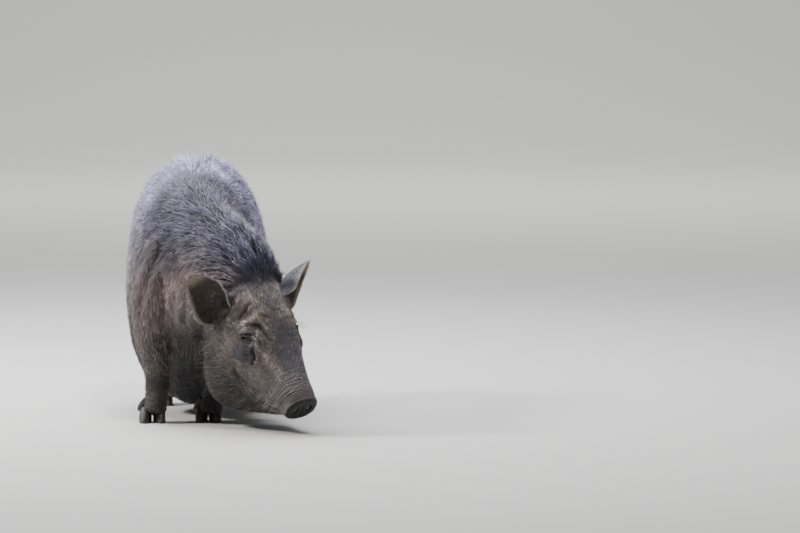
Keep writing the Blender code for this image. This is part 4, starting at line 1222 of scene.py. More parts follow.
# Tufts darken towards their roots: partly the hair's own tone, partly painted shade deep in the coat
ROOT_SHADE = 0.42  # how dark a tuft is at its root against its own colour
PIECE_TUFTS = 11500  # of the long kind
CLUMP_GRAIN = 0.26  # how much the clumps vary in brightness
MOTTLES = ((0.0042, 70), (0.012, 71))  # size and seed of the noise that they follow
SHADE_MIDDLE, SHADE_LIMITS = 0.92, (0.2, 2.6)  # brightness of the tufts against their markings
ROOT_DEPTH, RIDGE = 0.0012, 0.62  # how deep a tuft is rooted, and its ridge's height in half widths
RISE_CURVE = 0.8  # below one, a tuft leaves the skin early
PROUD_SHARE = 0.16  # the share of bristles that stand out of the coat
# The trunk's coat by the turn from the ridge (deg): how far its way slants down from the ridge's (deg),
# length, width and height of a bristle, and how much paler its tip is, partly the bristles' own pale tips and
# partly a painted sheen that is strongest on the ridge
COAT_SLANT = ((0, 20, 60, 110, 150, 180), (14, 22, 54, 58, 30, 5))
COAT_LENGTH = ((0, 35, 70, 105, 150, 180), (0.036, 0.031, 0.021, 0.015, 0.013, 0.012))
COAT_WIDTH = ((0, 50, 110, 180), (0.0016, 0.0015, 0.0013, 0.0012))
COAT_RISE = ((0, 35, 80, 180), (0.0100, 0.0066, 0.0028, 0.0026))
COAT_TIPS_AND_SHEEN = ((0, 60, 120), (1.85, 1.65, 1.45))
# The head's by the distance along, the legs' by the height, the tail's by the share of the way to its tip
HEAD_COAT_LENGTH = ((-0.02, 0.03, 0.10, 0.18, 0.236), (0.0150, 0.0100, 0.0060, 0.0046, 0.0026))
LEG_COAT_LENGTH = ((0.02, 0.06, 0.15, 0.22), (0.0060, 0.0075, 0.0105, 0.0150))
TAIL_COAT_LENGTH = ((0, 0.5, 0.75, 1), (0.008, 0.010, 0.030, 0.046))
TAIL_COAT_WIDTH = ((0, 0.6, 1), (0.0009, 0.0011, 0.0015))
TAIL_COAT_RISE = ((0, 0.6, 1), (0.0020, 0.0030, 0.0060))


def scatter(mesh, density, rng):
    """Random roots on the surface, this many to a square metre at each vertex. Returns places and normals."""
    mesh.calc_loop_triangles()
    corners = np.empty(len(mesh.loop_triangles) * 3, np.int32)
    mesh.loop_triangles.foreach_get("vertices", corners)
    corners = corners.reshape(-1, 3)
    places, normals = rows_of(mesh), rows_of(mesh, "normal")
    a, b, c = (places[corners[:, k]] for k in range(3))
    area = np.linalg.norm(np.cross(b - a, c - a), axis=1) / 2
    wanted = np.cumsum(area * density[corners].mean(1))
    count = int(wanted[-1])
    picked = np.searchsorted(wanted, (np.arange(count) + rng.random(count)) / count * wanted[-1])
    picked = np.minimum(picked, len(corners) - 1)
    u, v = rng.random(count), rng.random(count)
    over = u + v > 1
    u[over], v[over] = 1 - u[over], 1 - v[over]
    share = np.stack([1 - u - v, u, v], 1)[..., None]
    spots = (places[corners[picked]] * share).sum(1)
    return spots, unit((normals[corners[picked]] * share).sum(1))


class Tufts:
    """The tufts of one part of the coat: roots, ways along the skin, sizes, colours and places on the map."""

    def __init__(self, roots, normals, part, tree, rng):
        self.roots, self.normals, self.part, self.tree, self.rng = roots, normals, part, tree, rng

    def only(self, chosen):
        some = Tufts(self.roots[chosen], self.normals[chosen], self.part, self.tree, self.rng)
        for name in ("flow", "length", "width", "rise", "bend", "colour", "tip", "uv"):
            setattr(some, name, getattr(self, name)[chosen])
        return some

    def vary(self, values, low, high):
        """The values, each times a random number from low to high."""
        return values * self.rng.uniform(low, high, len(self.roots))

    def lie(self, flow):
        """Lays the tufts along the surface in the flow's way."""
        self.flow = unit(flow - self.normals * np.einsum("ij,ij->i", flow, self.normals)[:, None])

    def lean(self, spread):
        self.bend = self.rng.normal(0, spread, len(self.roots)) * self.length

    def shape(self, length, width, rise, bend, tip):
        """Sizes, as values with the lowest and highest random number times them. Without values of its own
        the rise is a share of the length."""
        self.length, self.width = self.vary(*length), self.vary(*width)
        self.rise = self.vary(self.length if len(rise) == 2 else rise[0], *rise[-2:])
        self.lean(bend)
        self.tip = self.vary(1.0, *tip)

    def markings_and_painted_light(self):
        return hide_colours(self.roots, np.full(len(self.roots), self.part))


def clump(roots, share, pull, rng):
    """Draws the tips of neighbouring tufts together: how far each tip moves, and its clump's number."""
    seeds = rng.choice(len(roots), max(1, int(len(roots) * share)), replace=False)
    tree = point_tree(roots[seeds])
    mine = np.array([tree.find(root)[1] for root in roots])
    return (roots[seeds][mine] - roots) * pull, mine


def spines(tufts, stages, tree, drift):
    """Points along each tuft: over the surface where it is long enough to need that."""
    across = np.cross(tufts.flow, tufts.normals)
    shares = [share for share, _ in stages] + [1.0]
    lines, ups = [], []
    for share in shares:
        reach = tufts.flow * (tufts.length * share)[:, None]
        swing = across * (tufts.bend * share * share)[:, None] + drift * share
        spot, up = tufts.roots + reach + swing, tufts.normals
        if share and tree is not None:
            spot, up = nearest(tree, spot)
        height = tufts.rise * share**RISE_CURVE if share else np.full(len(spot), -ROOT_DEPTH)
        lines.append(spot + up * height[:, None])
        ups.append(up)
    return lines, ups


def tuft_arrays(tufts, stages, tree, drift):
    """Corners and triangles of closed, three-sided tapered blades, with their tints and map places."""
    lines, ups = spines(tufts, stages, tree, drift)
    count, rings = len(tufts.roots), len(stages)
    per = rings * 3 + 1
    points = np.empty((count, per, 3))
    tints = np.empty((count, per, 3))
    maps = np.empty((count, per, 2))
    for i, (share, wide) in enumerate(stages):
        way = unit(lines[i + 1] - lines[i])
        across = unit(np.cross(way, ups[i]))
        rise = np.cross(across, way)
        half = (tufts.width * wide / 2)[:, None]
        for k, (a, b) in enumerate(((-1, 0), (1, 0), (0, RIDGE))):
            points[:, 3 * i + k] = lines[i] + across * half * a + rise * half * b
            tints[:, 3 * i + k] = tufts.colour * (ROOT_SHADE + (tufts.tip[:, None] - ROOT_SHADE) * share)
            maps[:, 3 * i + k] = tufts.uv + PATCH * np.array([a * 0.5, share - 0.5])
    points[:, -1] = lines[-1]
    tints[:, -1] = tufts.colour * tufts.tip[:, None]
    maps[:, -1] = tufts.uv + PATCH * np.array([0, 0.5])
    return points, tints, maps, blade_faces(rings)


def blade_faces(rings):
    """Triangles of a closed, three-sided blade: its foot, its sides and its tip."""
    faces = [(0, 2, 1)]
    for i in range(rings - 1):
        for k in range(3):
            here, there = 3 * i + k, 3 * i + (k + 1) % 3
            faces += [(here, there, there + 3), (here, there + 3, here + 3)]
    last = 3 * (rings - 1)
    faces += [(last + k, last + (k + 1) % 3, 3 * rings) for k in range(3)]
    return np.array(faces)


def blades_object(name, points, tints, maps, faces, finish):
    """One mesh from every blade's corners."""
    count, per = points.shape[:2]
    corners = (faces[None] + (np.arange(count) * per)[:, None, None]).reshape(-1, 3)
    mesh = bpy.data.meshes.new(name)
    mesh.vertices.add(count * per)
    mesh.vertices.foreach_set("co", points.astype(np.float32).ravel())
    mesh.loops.add(corners.size)
    mesh.loops.foreach_set("vertex_index", corners.astype(np.int32).ravel())
    mesh.polygons.add(len(corners))
    mesh.polygons.foreach_set("loop_start", np.arange(0, corners.size, 3, dtype=np.int32))
    mesh.update(calc_edges=True)
    layer = mesh.uv_layers.new(name="OFBake")
    layer.data.foreach_set("uv", maps.reshape(-1, 2)[corners.ravel()].astype(np.float32).ravel())
    paint(mesh, tints.reshape(-1, 3))
    finish_piece(link(name, mesh), finish, "hide")


def grow(name, tufts, tree, finish, stages, gather, mottle=0.38, grain=0.36):
    """Grows tufts as one or more pieces, each spread over the whole part. Tufts gather in clumps, and vary
    in brightness from patch to patch (mottle) and from tuft to tuft (grain)."""
    rng, roots = tufts.rng, tufts.roots
    drift, mine = clump(roots, *gather, rng)
    shades = grain * rng.standard_normal(len(roots)) + CLUMP_GRAIN * rng.standard_normal(mine.max() + 1)[mine]
    shades += mottle * sum(lattice_noise(roots, size, seed) for size, seed in MOTTLES)
    tufts.colour *= np.clip(SHADE_MIDDLE * np.exp(shades), *SHADE_LIMITS)[:, None]
    tufts.uv = np.clip(tufts.uv, PATCH, 1 - PATCH)
    pieces = math.ceil(len(roots) / (PIECE_TUFTS * len(LONG_STAGES) / len(stages)))
    hand = rng.integers(0, pieces, len(roots))
    for k in range(pieces):
        chosen = hand == k
        made = tuft_arrays(tufts.only(chosen), stages, tree, drift[chosen])
        blades_object(name if pieces == 1 else f"{name}_{k + 1}", *made, finish)


def wave(places, size, seed, amount):
    """Slow turns of the hair's lie."""
    return np.stack([lattice_noise(places, size, seed + k) for k in range(3)], 1) * amount


def trunk_coat(tufts):
    """Long bristles that stand up along the ridge, slant down the flanks and lie short on the shoulder."""
    roots, rng, count = tufts.roots, tufts.rng, len(tufts.roots)
    angle, station, side, up, way = trunk_angle(roots, 8)
    turn = np.abs(np.degrees(angle))
    down = unit(side * np.cos(angle)[:, None] - up * np.sin(angle)[:, None]) * np.sign(angle)[:, None]
    slant = np.radians(np.interp(turn, *COAT_SLANT))[:, None]
    flow = down * np.sin(slant) - way * np.cos(slant)
    tufts.lie(flow + wave(roots, 0.050, 20, 0.26) + wave(roots, 0.012, 24, 0.20))
    front = ramp(station, 0.50, 0.85)
    crest = ramp(-turn, -58, -14)
    short = 1 - 0.45 * front * ramp(turn, 48, 85)
    tufts.length = np.interp(turn, *COAT_LENGTH) * tufts.vary((1 + 0.22 * front * crest) * short, 0.7, 1.2)
    tufts.width = tufts.vary(np.interp(turn, *COAT_WIDTH), 0.7, 1.3) * (0.4 + 0.6 * short)
    tufts.rise = tufts.vary(np.interp(turn, *COAT_RISE), 0.35, 1.25) * short
    proud = rng.random(count) < PROUD_SHARE
    tufts.rise *= np.where(proud, rng.uniform(1.3, 2.1, count), 1.0)
    tufts.width *= np.where(proud, 0.6, 1.0)
    tufts.lean(0.20)
    tufts.colour = tufts.markings_and_painted_light() * fold_shade(roots, tufts.tree)[:, None]
    # pale tips, partly a painted sheen that grows towards the ridge
    tufts.tip = tufts.vary(np.interp(turn, *COAT_TIPS_AND_SHEEN), 0.75, 1.3)
    tufts.uv = unwrapped(angle, station)


def trunk_map(places):
    return unwrapped(*trunk_angle(places, 8)[:2])


def head_coat(tufts):
    """Short hair that lies back from the snout, longer in the mane and below the jaw."""
    along, left, out = in_head(tufts.roots).T
    low = ramp(-out, -0.01, 0.07)[:, None]
    flow = -HEAD_TURN[0] - HEAD_TURN[2] * 0.55 * low + HEAD_TURN[1] * (np.sign(left) * 0.25)[:, None]
    tufts.lie(flow + wave(tufts.roots, 0.030, 30, 0.24))
    mane = ramp(-along, -0.015, 0.030) * ramp(out, -0.005, 0.030)
    length = np.interp(along, *HEAD_COAT_LENGTH) + 0.016 * mane + 0.0035 * low[:, 0]
    tufts.shape((length, 0.7, 1.3), (0.00074 + 0.0007 * mane, 0.7, 1.3), (0.10, 0.34), 0.12, (1.0, 1.75))
    tufts.colour = tufts.markings_and_painted_light() * crease_shade(tufts.roots, tufts.tree)[:, None]
    tufts.uv = head_map(tufts.roots)


def head_map(places):
    along, left, out = in_head(places).T
    centre = np.interp(along, [r[0] for r in HEAD_RINGS], [r[1] for r in HEAD_RINGS])
    return unwrapped(np.arctan2(left, out - centre), np.clip((along + 0.06) / 0.32, 0, 1))


def leg_coat(tufts):
    """Short hair that runs down the legs."""
    tufts.lie(np.array([0.0, 0.25, -1.0]) + wave(tufts.roots, 0.030, 40, 0.30))
    height = tufts.roots[:, 2]
    width = 0.0009 + 0.0004 * ramp(height, 0.10, 0.20)
    length = np.interp(height, *LEG_COAT_LENGTH)
    tufts.shape((length, 0.7, 1.3), (width, 0.75, 1.25), (0.12, 0.34), 0.14, (1.15, 1.55))
    tufts.colour = tufts.markings_and_painted_light()
    tufts.uv = leg_map(tufts.roots, tufts.part)


def leg_map(places, part):
    """A pair of legs side by side on the map: the turn round the nearer one, and the height."""
    names = [name for name in LEGS if (LEGS[name][0] is FORELEG_RINGS) == (part == FORELEG)]
    best, spots = np.full(len(places), 1e9), np.zeros((len(places), 2))
    for k, name in enumerate(names):
        rows = leg_rows(name)
        rows = rows[np.argsort(rows[:, 2])]
        middle = np.stack([np.interp(places[:, 2], rows[:, 2], rows[:, i]) for i in (0, 1)], 1)
        offset = places[:, :2] - middle
        gap = np.linalg.norm(offset, axis=1)
        closer = gap < best
        best[closer] = gap[closer]
        spot = unwrapped(np.arctan2(offset[:, 0], offset[:, 1]), np.clip(places[:, 2] / 0.38, 0, 1))
        spot[:, 0] = (k + 0.02 + 0.96 * spot[:, 0]) / 2
        spots[closer] = spot[closer]
    return spots


def ear_coat(tufts):
    """Fine down that runs out to the tips and fans to the edges."""
    roots, count = tufts.roots, len(tufts.roots)
    tufts.colour = ear_colours(roots, tufts.markings_and_painted_light(), np.full(count, EAR))
    tufts.shape((1.0, 0.0040, 0.0075), (1.0, 0.0006, 0.0009), (0.12, 0.30), 0.12, (1.1, 1.5))
    flow, tufts.uv, best = np.zeros((count, 3)), np.zeros((count, 2)), np.full(count, 1e9)
    for k, side in enumerate(SIDES.values()):
        way, across, _ = arrays(ear_axes(side))
        gap = distance(roots, ear_root(side))
        mine = gap < best
        best[mine] = gap[mine]
        t, s, height = on_ear(roots, side)
        flow[mine] = (way + across * (s * 0.35)[:, None] + wave(roots, 0.02, 50, 0.3))[mine]
        strip = 2 * k + (height > 0).astype(float) + np.clip((s + 1.1) / 2.2, 0, 1)
        tufts.uv[mine] = np.stack([strip / 4, np.clip((t + 0.1) / 1.2, 0, 1)], 1)[mine]
    tufts.lie(flow)


def tail_coat(tufts):
    """Hair that lies along the tail and ends in a dark tuft."""
    rows = smooth_rows(TAIL_PATH, 5)
    middle = rows[:, :3] + np.array(SHIFT)
    ways = np.array([list(way.normalized()) for way in ways_of(middle)])
    rings = np.argmin(np.linalg.norm(tufts.roots[:, None] - middle[None], axis=2), axis=1)
    share = rings / (len(rows) - 1)
    tufts.lie(ways[rings])
    curves = (TAIL_COAT_LENGTH, TAIL_COAT_WIDTH, TAIL_COAT_RISE)
    length, width, rise = (np.interp(share, *curve) for curve in curves)
    tufts.shape((length, 0.7, 1.15), (width, 0.8, 1.2), (rise, 0.4, 1.3), 0.10, (1.0, 1.4))
    tufts.colour = mix(np.tile(UMBER, (len(share), 1)), DARK_AND_SHADE, ramp(share, 0.55, 0.8))
    offset = tufts.roots - middle[rings]
    tufts.uv = unwrapped(np.arctan2(offset[:, 0], offset[:, 1]), share)


# Each part's coat: name, part, how it lies, stages, share of its tufts that others gather to and how far,
# and for the face how much its shades vary
COATS = (
    ("coat_body", TRUNK, trunk_coat, LONG_STAGES, (0.040, 0.45)),
    ("coat_head", HEAD, head_coat, SHORT_STAGES, (0.16, 0.20), 0.72, 0.46),
    ("coat_forelegs", FORELEG, leg_coat, SHORT_STAGES, (0.10, 0.15)),
    ("coat_hindlegs", HINDLEG, leg_coat, SHORT_STAGES, (0.10, 0.15)),
    ("coat_ears", EAR, ear_coat, SHORT_STAGES, (0.10, 0.10)),
    ("coat_tail", TAIL, tail_coat, LONG_STAGES, (0.08, 0.35)),
)


def in_cups(places):
    """True inside the cups of the ears."""
    found = np.zeros(len(places), bool)
    for side in SIDES.values():
        t, s, height = on_ear(places, side)
        found |= (np.abs(s) < 1) & (t > 0.05) & (t < 1) & (height > -0.001) & (height < 0.020)
    return found


def coat_density(places, parts):
    """Tufts to a square metre at each vertex of the skin."""
    density = np.zeros(len(places))
    trunk = np.flatnonzero(parts == TRUNK)
    turn = np.abs(np.degrees(trunk_angle(places[trunk])[0]))
    density[trunk] = np.interp(turn, (0, 60, 90, 130, 160), (1, 1, 0, 0, 0)) * (BACK_DENSITY - FLANK_DENSITY)
    density[trunk] += np.interp(turn, (130, 165), (FLANK_DENSITY, BELLY_DENSITY))
    density[np.isin(parts, (FORELEG, HINDLEG))] = LEG_DENSITY
    density[(parts == EAR) | in_cups(places)] = EAR_DENSITY
    density[parts == TAIL] = TAIL_DENSITY
    head = parts == HEAD
    density[head] = (FACE_DENSITY * ramp(-in_head(places)[:, 0], -0.236, -0.212))[head]
    for side in SIDES.values():
        long_way, up, _ = arrays(eye_axes(side))
        offset = places - np.array(eye_centre(side))
        near = np.hypot(offset @ long_way / 0.0150, (offset @ up) / 0.0095)
        density *= np.where(np.linalg.norm(offset, axis=1) < 0.03, ramp(near, 0.9, 1.5), 1)
        density *= 1 - 0.75 * eye_patch(places, side, np.zeros(len(places)))
    return density


def make_coat(skin, finder, finish):
    """Scatters roots over the skin and grows each part's coat from its own."""
    rng = np.random.default_rng(7)
    places = rows_of(skin.data)
    roots, normals = scatter(skin.data, coat_density(places, parts_of(places, finder)), rng)
    parts = parts_of(roots, finder)
    parts[in_cups(roots)] = EAR
    tree = surface_tree(skin.data)
    for name, part, coat, *habit in COATS:
        tufts = Tufts(roots[parts == part], normals[parts == part], part, tree, rng)
        coat(tufts)
        grow(name, tufts, tree if part == TRUNK else None, finish, *habit)
    return tree


# ---------------------------------------------------------------- long single hairs


def strand(root, way, up, length, radius, curl, rng):
    """Points of one thin, curling hair of three sides: rings of corners and a tip."""
    across = unit(np.cross(way, up))
    turns = rng.uniform(0.6, 1.4) * curl
    start = rng.uniform(0, 2 * math.pi)

    def aside(angle):
        return across * math.cos(angle) + up * math.sin(angle)

    points = []
    for t in np.arange(STRAND_RINGS) / STRAND_RINGS:
        swing = aside(start + turns * 2 * math.pi * t) * (STRAND_SWING * length * curl * t)
        spot = root + way * length * t + swing + np.array([0, 0, -STRAND_SAG * length * t * t])
        for k in range(3):
            points.append(spot + aside(2 * math.pi * k / 3) * (radius * (1 - STRAND_THINNING * t)))
    points.append(spot + way * length / STRAND_RINGS * 0.6)
    return points


def patch_roots(tree, centre, axes, size, count, rng):
    """Roots scattered over a patch of skin round a place, with their normals."""
    roots = []
    for _ in range(count):
        spot = centre + axes[0] * rng.normal(0, size[0]) + axes[1] * rng.normal(0, size[1])
        roots.append(arrays(tree.find_nearest(spot)[:2]))
    return roots


# Tufts of single hairs in the head frame: place, the skin they stand on, spread, count, way, shortest and
# longest, curl, colour
HAIR_TUFTS = (
    ((0.105, 0.022, 0.048), "top", (0.020, 0.010), 34, (0.30, 0.0, 1.0), (0.010, 0.026), 0.8, WARM),
    ((0.060, 0.020, 0.056), "top", (0.016, 0.014), 40, (-0.5, 0.0, 0.9), (0.012, 0.028), 0.6, SLATE_AND_SHEEN),
    ((0.102, 0.034, 0.042), "top", (0.010, 0.006), 22, (0.3, 0.9, 0.5), (0.014, 0.034), 1.4, DARK_AND_SHADE),
    ((0.160, 0.055, -0.090), "side", (0.030, 0.014), 60, (-0.5, 0.7, -0.7), (0.010, 0.024), 0.8, TAUPE),
    ((0.205, 0.034, -0.035), "side", (0.014, 0.010), 24, (0.1, 0.9, -0.3), (0.008, 0.020), 0.5, STRAW),
    ((0.105, 0.072, -0.090), "side", (0.022, 0.028), 50, (-0.7, 0.8, -0.4), (0.008, 0.018), 0.6, TAUPE),
    ((0.045, 0.070, -0.080), "side", (0.030, 0.024), 80, (-0.9, 0.5, -0.5), (0.012, 0.028), 0.8, TAUPE),
)
# Wisps between the forelegs: place in the pig's own frame, spread, way, shortest and longest, curl, and
# how many of each colour
BRISKET = (0.008, -0.150, 0.135)
BRISKET_AXES = (Vector((1, 0, 0)), Vector((0, 0.4, -1)).normalized())
BRISKET_SPREAD, BRISKET_WAY = (0.034, 0.026), (0.25, -0.25, -1.0)
BRISKET_LENGTHS, BRISKET_CURL = (0.014, 0.036), 1.3
BRISKET_HAIRS = ((STRAW, 60), (TAUPE, 90))
STRAND_RINGS, STRAND_RADIUS = 9, 0.00034
STRAND_SWING, STRAND_SAG, STRAND_THINNING = 0.16, 0.30, 0.75  # against its length, and its radius
STRAY = 0.22  # how much the ways of single hairs differ


def make_strands(tree, finish):
    """Whiskers, brows, lashes, and the pale wisps below the throat and brisket."""
    rng = np.random.default_rng(5)
    along, left, out = head_axes()
    rows = []
    for side in SIDES.values():
        for place, skin, size, count, way, lengths, curl, colour in HAIR_TUFTS:
            axes = (along, left if skin == "top" else out)
            lead = np.array(head_way(way, side))
            roots = patch_roots(tree, head_point(place, side), axes, size, count, rng)
            rows += hairs(roots, lead, lengths, curl, colour, rng)
    faces = len(rows)
    for colour, count in BRISKET_HAIRS:
        roots = patch_roots(tree, Vector(BRISKET) + SHIFT, BRISKET_AXES, BRISKET_SPREAD, count, rng)
        rows += hairs(roots, unit(np.array(BRISKET_WAY)), BRISKET_LENGTHS, BRISKET_CURL, colour, rng)
    patch = PATCH * np.array([(-0.5, 0), (0.5, 0), (0, 0.5)] * STRAND_RINGS + [(0, 0.5)])
    points = np.array([corners for corners, _ in rows])
    tints = np.array([np.tile(colour, (len(corners), 1)) for corners, colour in rows])
    places = np.concatenate([head_map(points[:faces, 0]), trunk_map(points[faces:, 0])])
    maps = patch + np.clip(places, PATCH, 1 - PATCH)[:, None]
    blades_object("long_hairs", points, tints, maps, blade_faces(STRAND_RINGS), finish)


def hairs(roots, way, lengths, curl, colour, rng):
    """Corners and colour of a single hair on each root, led away from the skin."""
    rows = []
    for root, normal in roots:
        lead = unit(way + normal * 0.5 + rng.normal(0, STRAY, 3))
        if lead @ normal < 0.1:
            lead = unit(lead + normal * (0.25 - lead @ normal))
        length = rng.uniform(*lengths)
        corners = strand(root - normal * 0.001, lead, normal, length, STRAND_RADIUS, curl, rng)
        rows.append((corners, colour * rng.uniform(0.75, 1.3)))
    return rows


# ---------------------------------------------------------------- eyes, snout, claws

PUPIL, IRIS, EYE_WHITE = shade(8, 7, 7), shade(44, 30, 22), shade(38, 32, 30)
CORNEA = 0.0004  # how far it bulges
# Snout disc from its root to its face: share of the way, share of its size
SNOUT_SIZES = ((0.0, 0.92), (0.2, 0.99), (0.5, 1.02), (0.75, 1.01), (0.92, 0.95), (1.0, 0.84))
SNOUT_EXPONENT, SNOUT_VOXEL, SNOUT_SMOOTHING = 2.3, 0.0010, 4
# The disc's face is dark skin deepened by painted shade, its rim is paler partly as a painted highlight, and
# its nostrils are painted black as the shade deep inside them
SNOUT_BAND, SNOUT_FACE_AND_SHADE, SNOUT_RIM_AND_HIGHLIGHT = shade(88, 79, 81), shade(17, 14, 15), shade(104, 96, 98)
NOSTRIL_SHADE = shade(7, 6, 6)
SNOUT_DISH, GROOVE_DEPTH, GROOVE_WIDTH = 0.0016, 0.0012, 0.0022
SNOUT_RIPPLES, RIPPLE_HEIGHT, SNOUT_BUMPS = 34, 0.0004, 0.0005
# Claw from heel to toe: share of its length from the middle, of its width and of its height
CLAW_RINGS = ((-0.46, 0.62, 0.60), (-0.36, 0.94, 0.86), (-0.05, 1.0, 1.0),
              (0.22, 0.86, 0.78), (0.42, 0.52, 0.42), (0.54, 0.10, 0.14))
DEWCLAW_SIZES = ((0, 0.35, 0.7, 0.93, 1), (0.9, 1.0, 0.85, 0.5, 0.15))
# Where a dewclaw's root and tip stand, in DEWCLAW_APART sideways and DEWCLAW_BACK backwards
DEWCLAW_ROOT, DEWCLAW_TIP = (0.7, 0.45), (1.65, 1.45)
DEWCLAW_WIDE, DEWCLAW_DEEP = 1.1, 0.8
HORN, WORN_HORN = shade(52, 46, 43), shade(84, 74, 65)


def make_eye(word, finish):
    """A dark, wet eyeball with a brown iris and a slightly bulging cornea."""
    side = SIDES[word]
    axes = eye_axes(side)
    ball = ball_form(eye_centre(side), axes, (EYE_RADIUS,) * 3, 40, 56)
    eye = mesh_object("eyeball_" + word, *ball)
    places = rows_of(eye.data)
    outwards = unit(places - np.array(eye_centre(side)))
    long_way, up, facing = arrays(axes)
    aim = unit(facing - 0.22 * up + 0.10 * long_way)
    away = np.degrees(np.arccos(np.clip(outwards @ aim, -1, 1)))
    move_to(eye.data, places + outwards * (CORNEA * ramp(-away, -38, -8))[:, None])
    pupil = np.tile(PUPIL, (len(places), 1))
    iris_edge = (PUPIL, 0.8 * ramp(away, 33, 38))
    paint(eye.data, layered(pupil, (IRIS, ramp(away, 15, 19)), iris_edge, (EYE_WHITE, ramp(away, 39, 46))))
    finish_piece(eye, finish, "eye", "eye_" + word)


def snout_form():
    """The disc with its two deep nostrils."""
    rows = smooth_rows(SNOUT_SIZES, 3)
    reach = SNOUT_END - SNOUT_START
    centres = [head_point((SNOUT_START + reach * share, 0, SNOUT_CENTRE)) for share, _ in rows]
    halves = [(SNOUT_HALF[0] * size, SNOUT_HALF[1] * size) for _, size in rows]
    frames = [ring_frame(head_axes()[0], head_axes()[2])] * len(rows)
    snout = mesh_object("snout_disc", *ring_stack(centres, halves, frames, 64, SNOUT_EXPONENT))
    for side in SIDES.values():
        path = [
            head_point((SNOUT_END - NOSTRIL_DEPTH, NOSTRIL_APART * 0.7, SNOUT_CENTRE + 0.002), side),
            head_point((SNOUT_END - NOSTRIL_DEPTH * 0.5, NOSTRIL_APART, SNOUT_CENTRE), side),
            head_point((SNOUT_END + 0.004, NOSTRIL_APART, SNOUT_CENTRE), side),
        ]
        sizes = [(NOSTRIL_HALF[0] * k, NOSTRIL_HALF[1] * k) for k in (0.6, 0.85, 1.1)]
        combine(snout, mesh_object("nostril", *ring_stack(path, sizes, frames[:3], 24)), "DIFFERENCE")
    fuse(snout, SNOUT_VOXEL, SNOUT_SMOOTHING)
    return snout


def make_snout(finish):
    """The disc: a soft wrinkled rim, a shallow face with a middle groove, and two deep nostrils."""
    snout = snout_form()
    places, normals = rows_of(snout.data), rows_of(snout.data, "normal")
    along, left, out = in_head(places).T
    turn = np.arctan2(left, out - SNOUT_CENTRE)
    spread = np.hypot(left / SNOUT_HALF[0], (out - SNOUT_CENTRE) / SNOUT_HALF[1])
    face = ramp(along, SNOUT_END - 0.006, SNOUT_END - 0.002)
    lift = -SNOUT_DISH * face * ramp(-spread, -0.80, -0.45)
    lift -= GROOVE_DEPTH * face * np.exp(-((left / GROOVE_WIDTH) ** 2)) * ramp(out, -0.03, 0.0)
    ripples = np.sin(turn * SNOUT_RIPPLES + 3 * lattice_noise(places, 0.012, 60))
    lift += RIPPLE_HEIGHT * (1 - face) * ripples
    lift += SNOUT_BUMPS * lattice_noise(places, 0.004, 61)
    move_to(snout.data, places + normals * lift[:, None])
    # Painted light: shade over the disc's face and in its nostrils, and a paler rim that is partly a painted
    # highlight
    rim = ramp(spread, 0.86, 0.97) * ramp(along, SNOUT_END - 0.010, SNOUT_END - 0.004)
    hole = np.hypot((np.abs(left) - NOSTRIL_APART) / NOSTRIL_HALF[0], out / NOSTRIL_HALF[1])
    band = SNOUT_BAND * (1 + 0.5 * lattice_noise(places, 0.006, 62))[:, None]
    edge, dark = (SNOUT_RIM_AND_HIGHLIGHT, 0.7 * rim * (1 - face)), (NOSTRIL_SHADE, ramp(-hole, -1.15, -0.95) * face)
    paint(snout.data, layered(band, (SNOUT_FACE_AND_SHADE, face), edge, dark))
    finish_piece(snout, finish, "snout", "snout")


def finish_piece(piece, finish, slot, *replaced):
    """Gives a piece its material and its body, and hides the nodes that it stands for; the slot is not used.
    """
    piece.data.shade_smooth()
    piece.data.materials.clear()
    piece.data.materials.append(finish)
    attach(piece, "root")
    if replaced:
        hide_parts(*replaced)


def foot_middle(leg):
    """Where the leg's middle meets the floor."""
    rows = leg_rows(leg)[::-1]
    x, y, z = rows[:2, :3].T
    slope = (0 - z[0]) / (z[1] - z[0])
    return Vector((x[0] + (x[1] - x[0]) * slope, y[0] + (y[1] - y[0]) * slope, 0))


def make_claws(finish):
    """Two pointed half hoofs under each foot, with a flat sole and ringed horn, and two dewclaws behind."""
    for leg in LEGS:
        for word, side in SIDES.items():
            make_claw(f"{leg}_{word}", side, finish)
        for word, side in SIDES.items():
            make_dewclaw(f"{leg}_{word}", foot_middle(leg), side, finish)


def make_claw(name, side, finish):
    low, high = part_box("claw_" + name)
    turn = side * CLAW_SPLAY
    ahead = Vector((math.sin(turn), -math.cos(turn), 0))
    across = Vector((math.cos(turn), math.sin(turn), 0))
    middle = (low + high) / 2
    middle.z = 0
    middle -= ahead * CLAW_LENGTH * 0.04
    points, profile, rows = [], claw_profile(), smooth_rows(CLAW_RINGS, 5)
    for reach, wide, tall in rows:
        spot = middle + ahead * CLAW_LENGTH * reach
        for share, up in profile:
            place = spot + across * CLAW_WIDTH * 0.5 * wide * share
            points.append(place + Vector((0, 0, CLAW_HEIGHT * tall * up)))
    claw = mesh_object("hoof_" + name, points, stack_faces(len(rows), len(profile)))
    paint_horn(claw)
    finish_piece(claw, finish, "horn", "claw_" + name)


def claw_profile(count=16):
    """Half section of a claw, sole edge to sole edge over the top: share of half width, share of height."""
    profile = []
    for turn in (math.pi * k / count for k in range(count + 1)):
        across = -math.cos(turn)
        round_side = math.copysign(abs(across) ** 0.7, across) * (1 + 0.06 * math.sin(2 * turn) ** 2)
        profile.append((round_side, math.sin(turn) ** 0.85))
    return profile


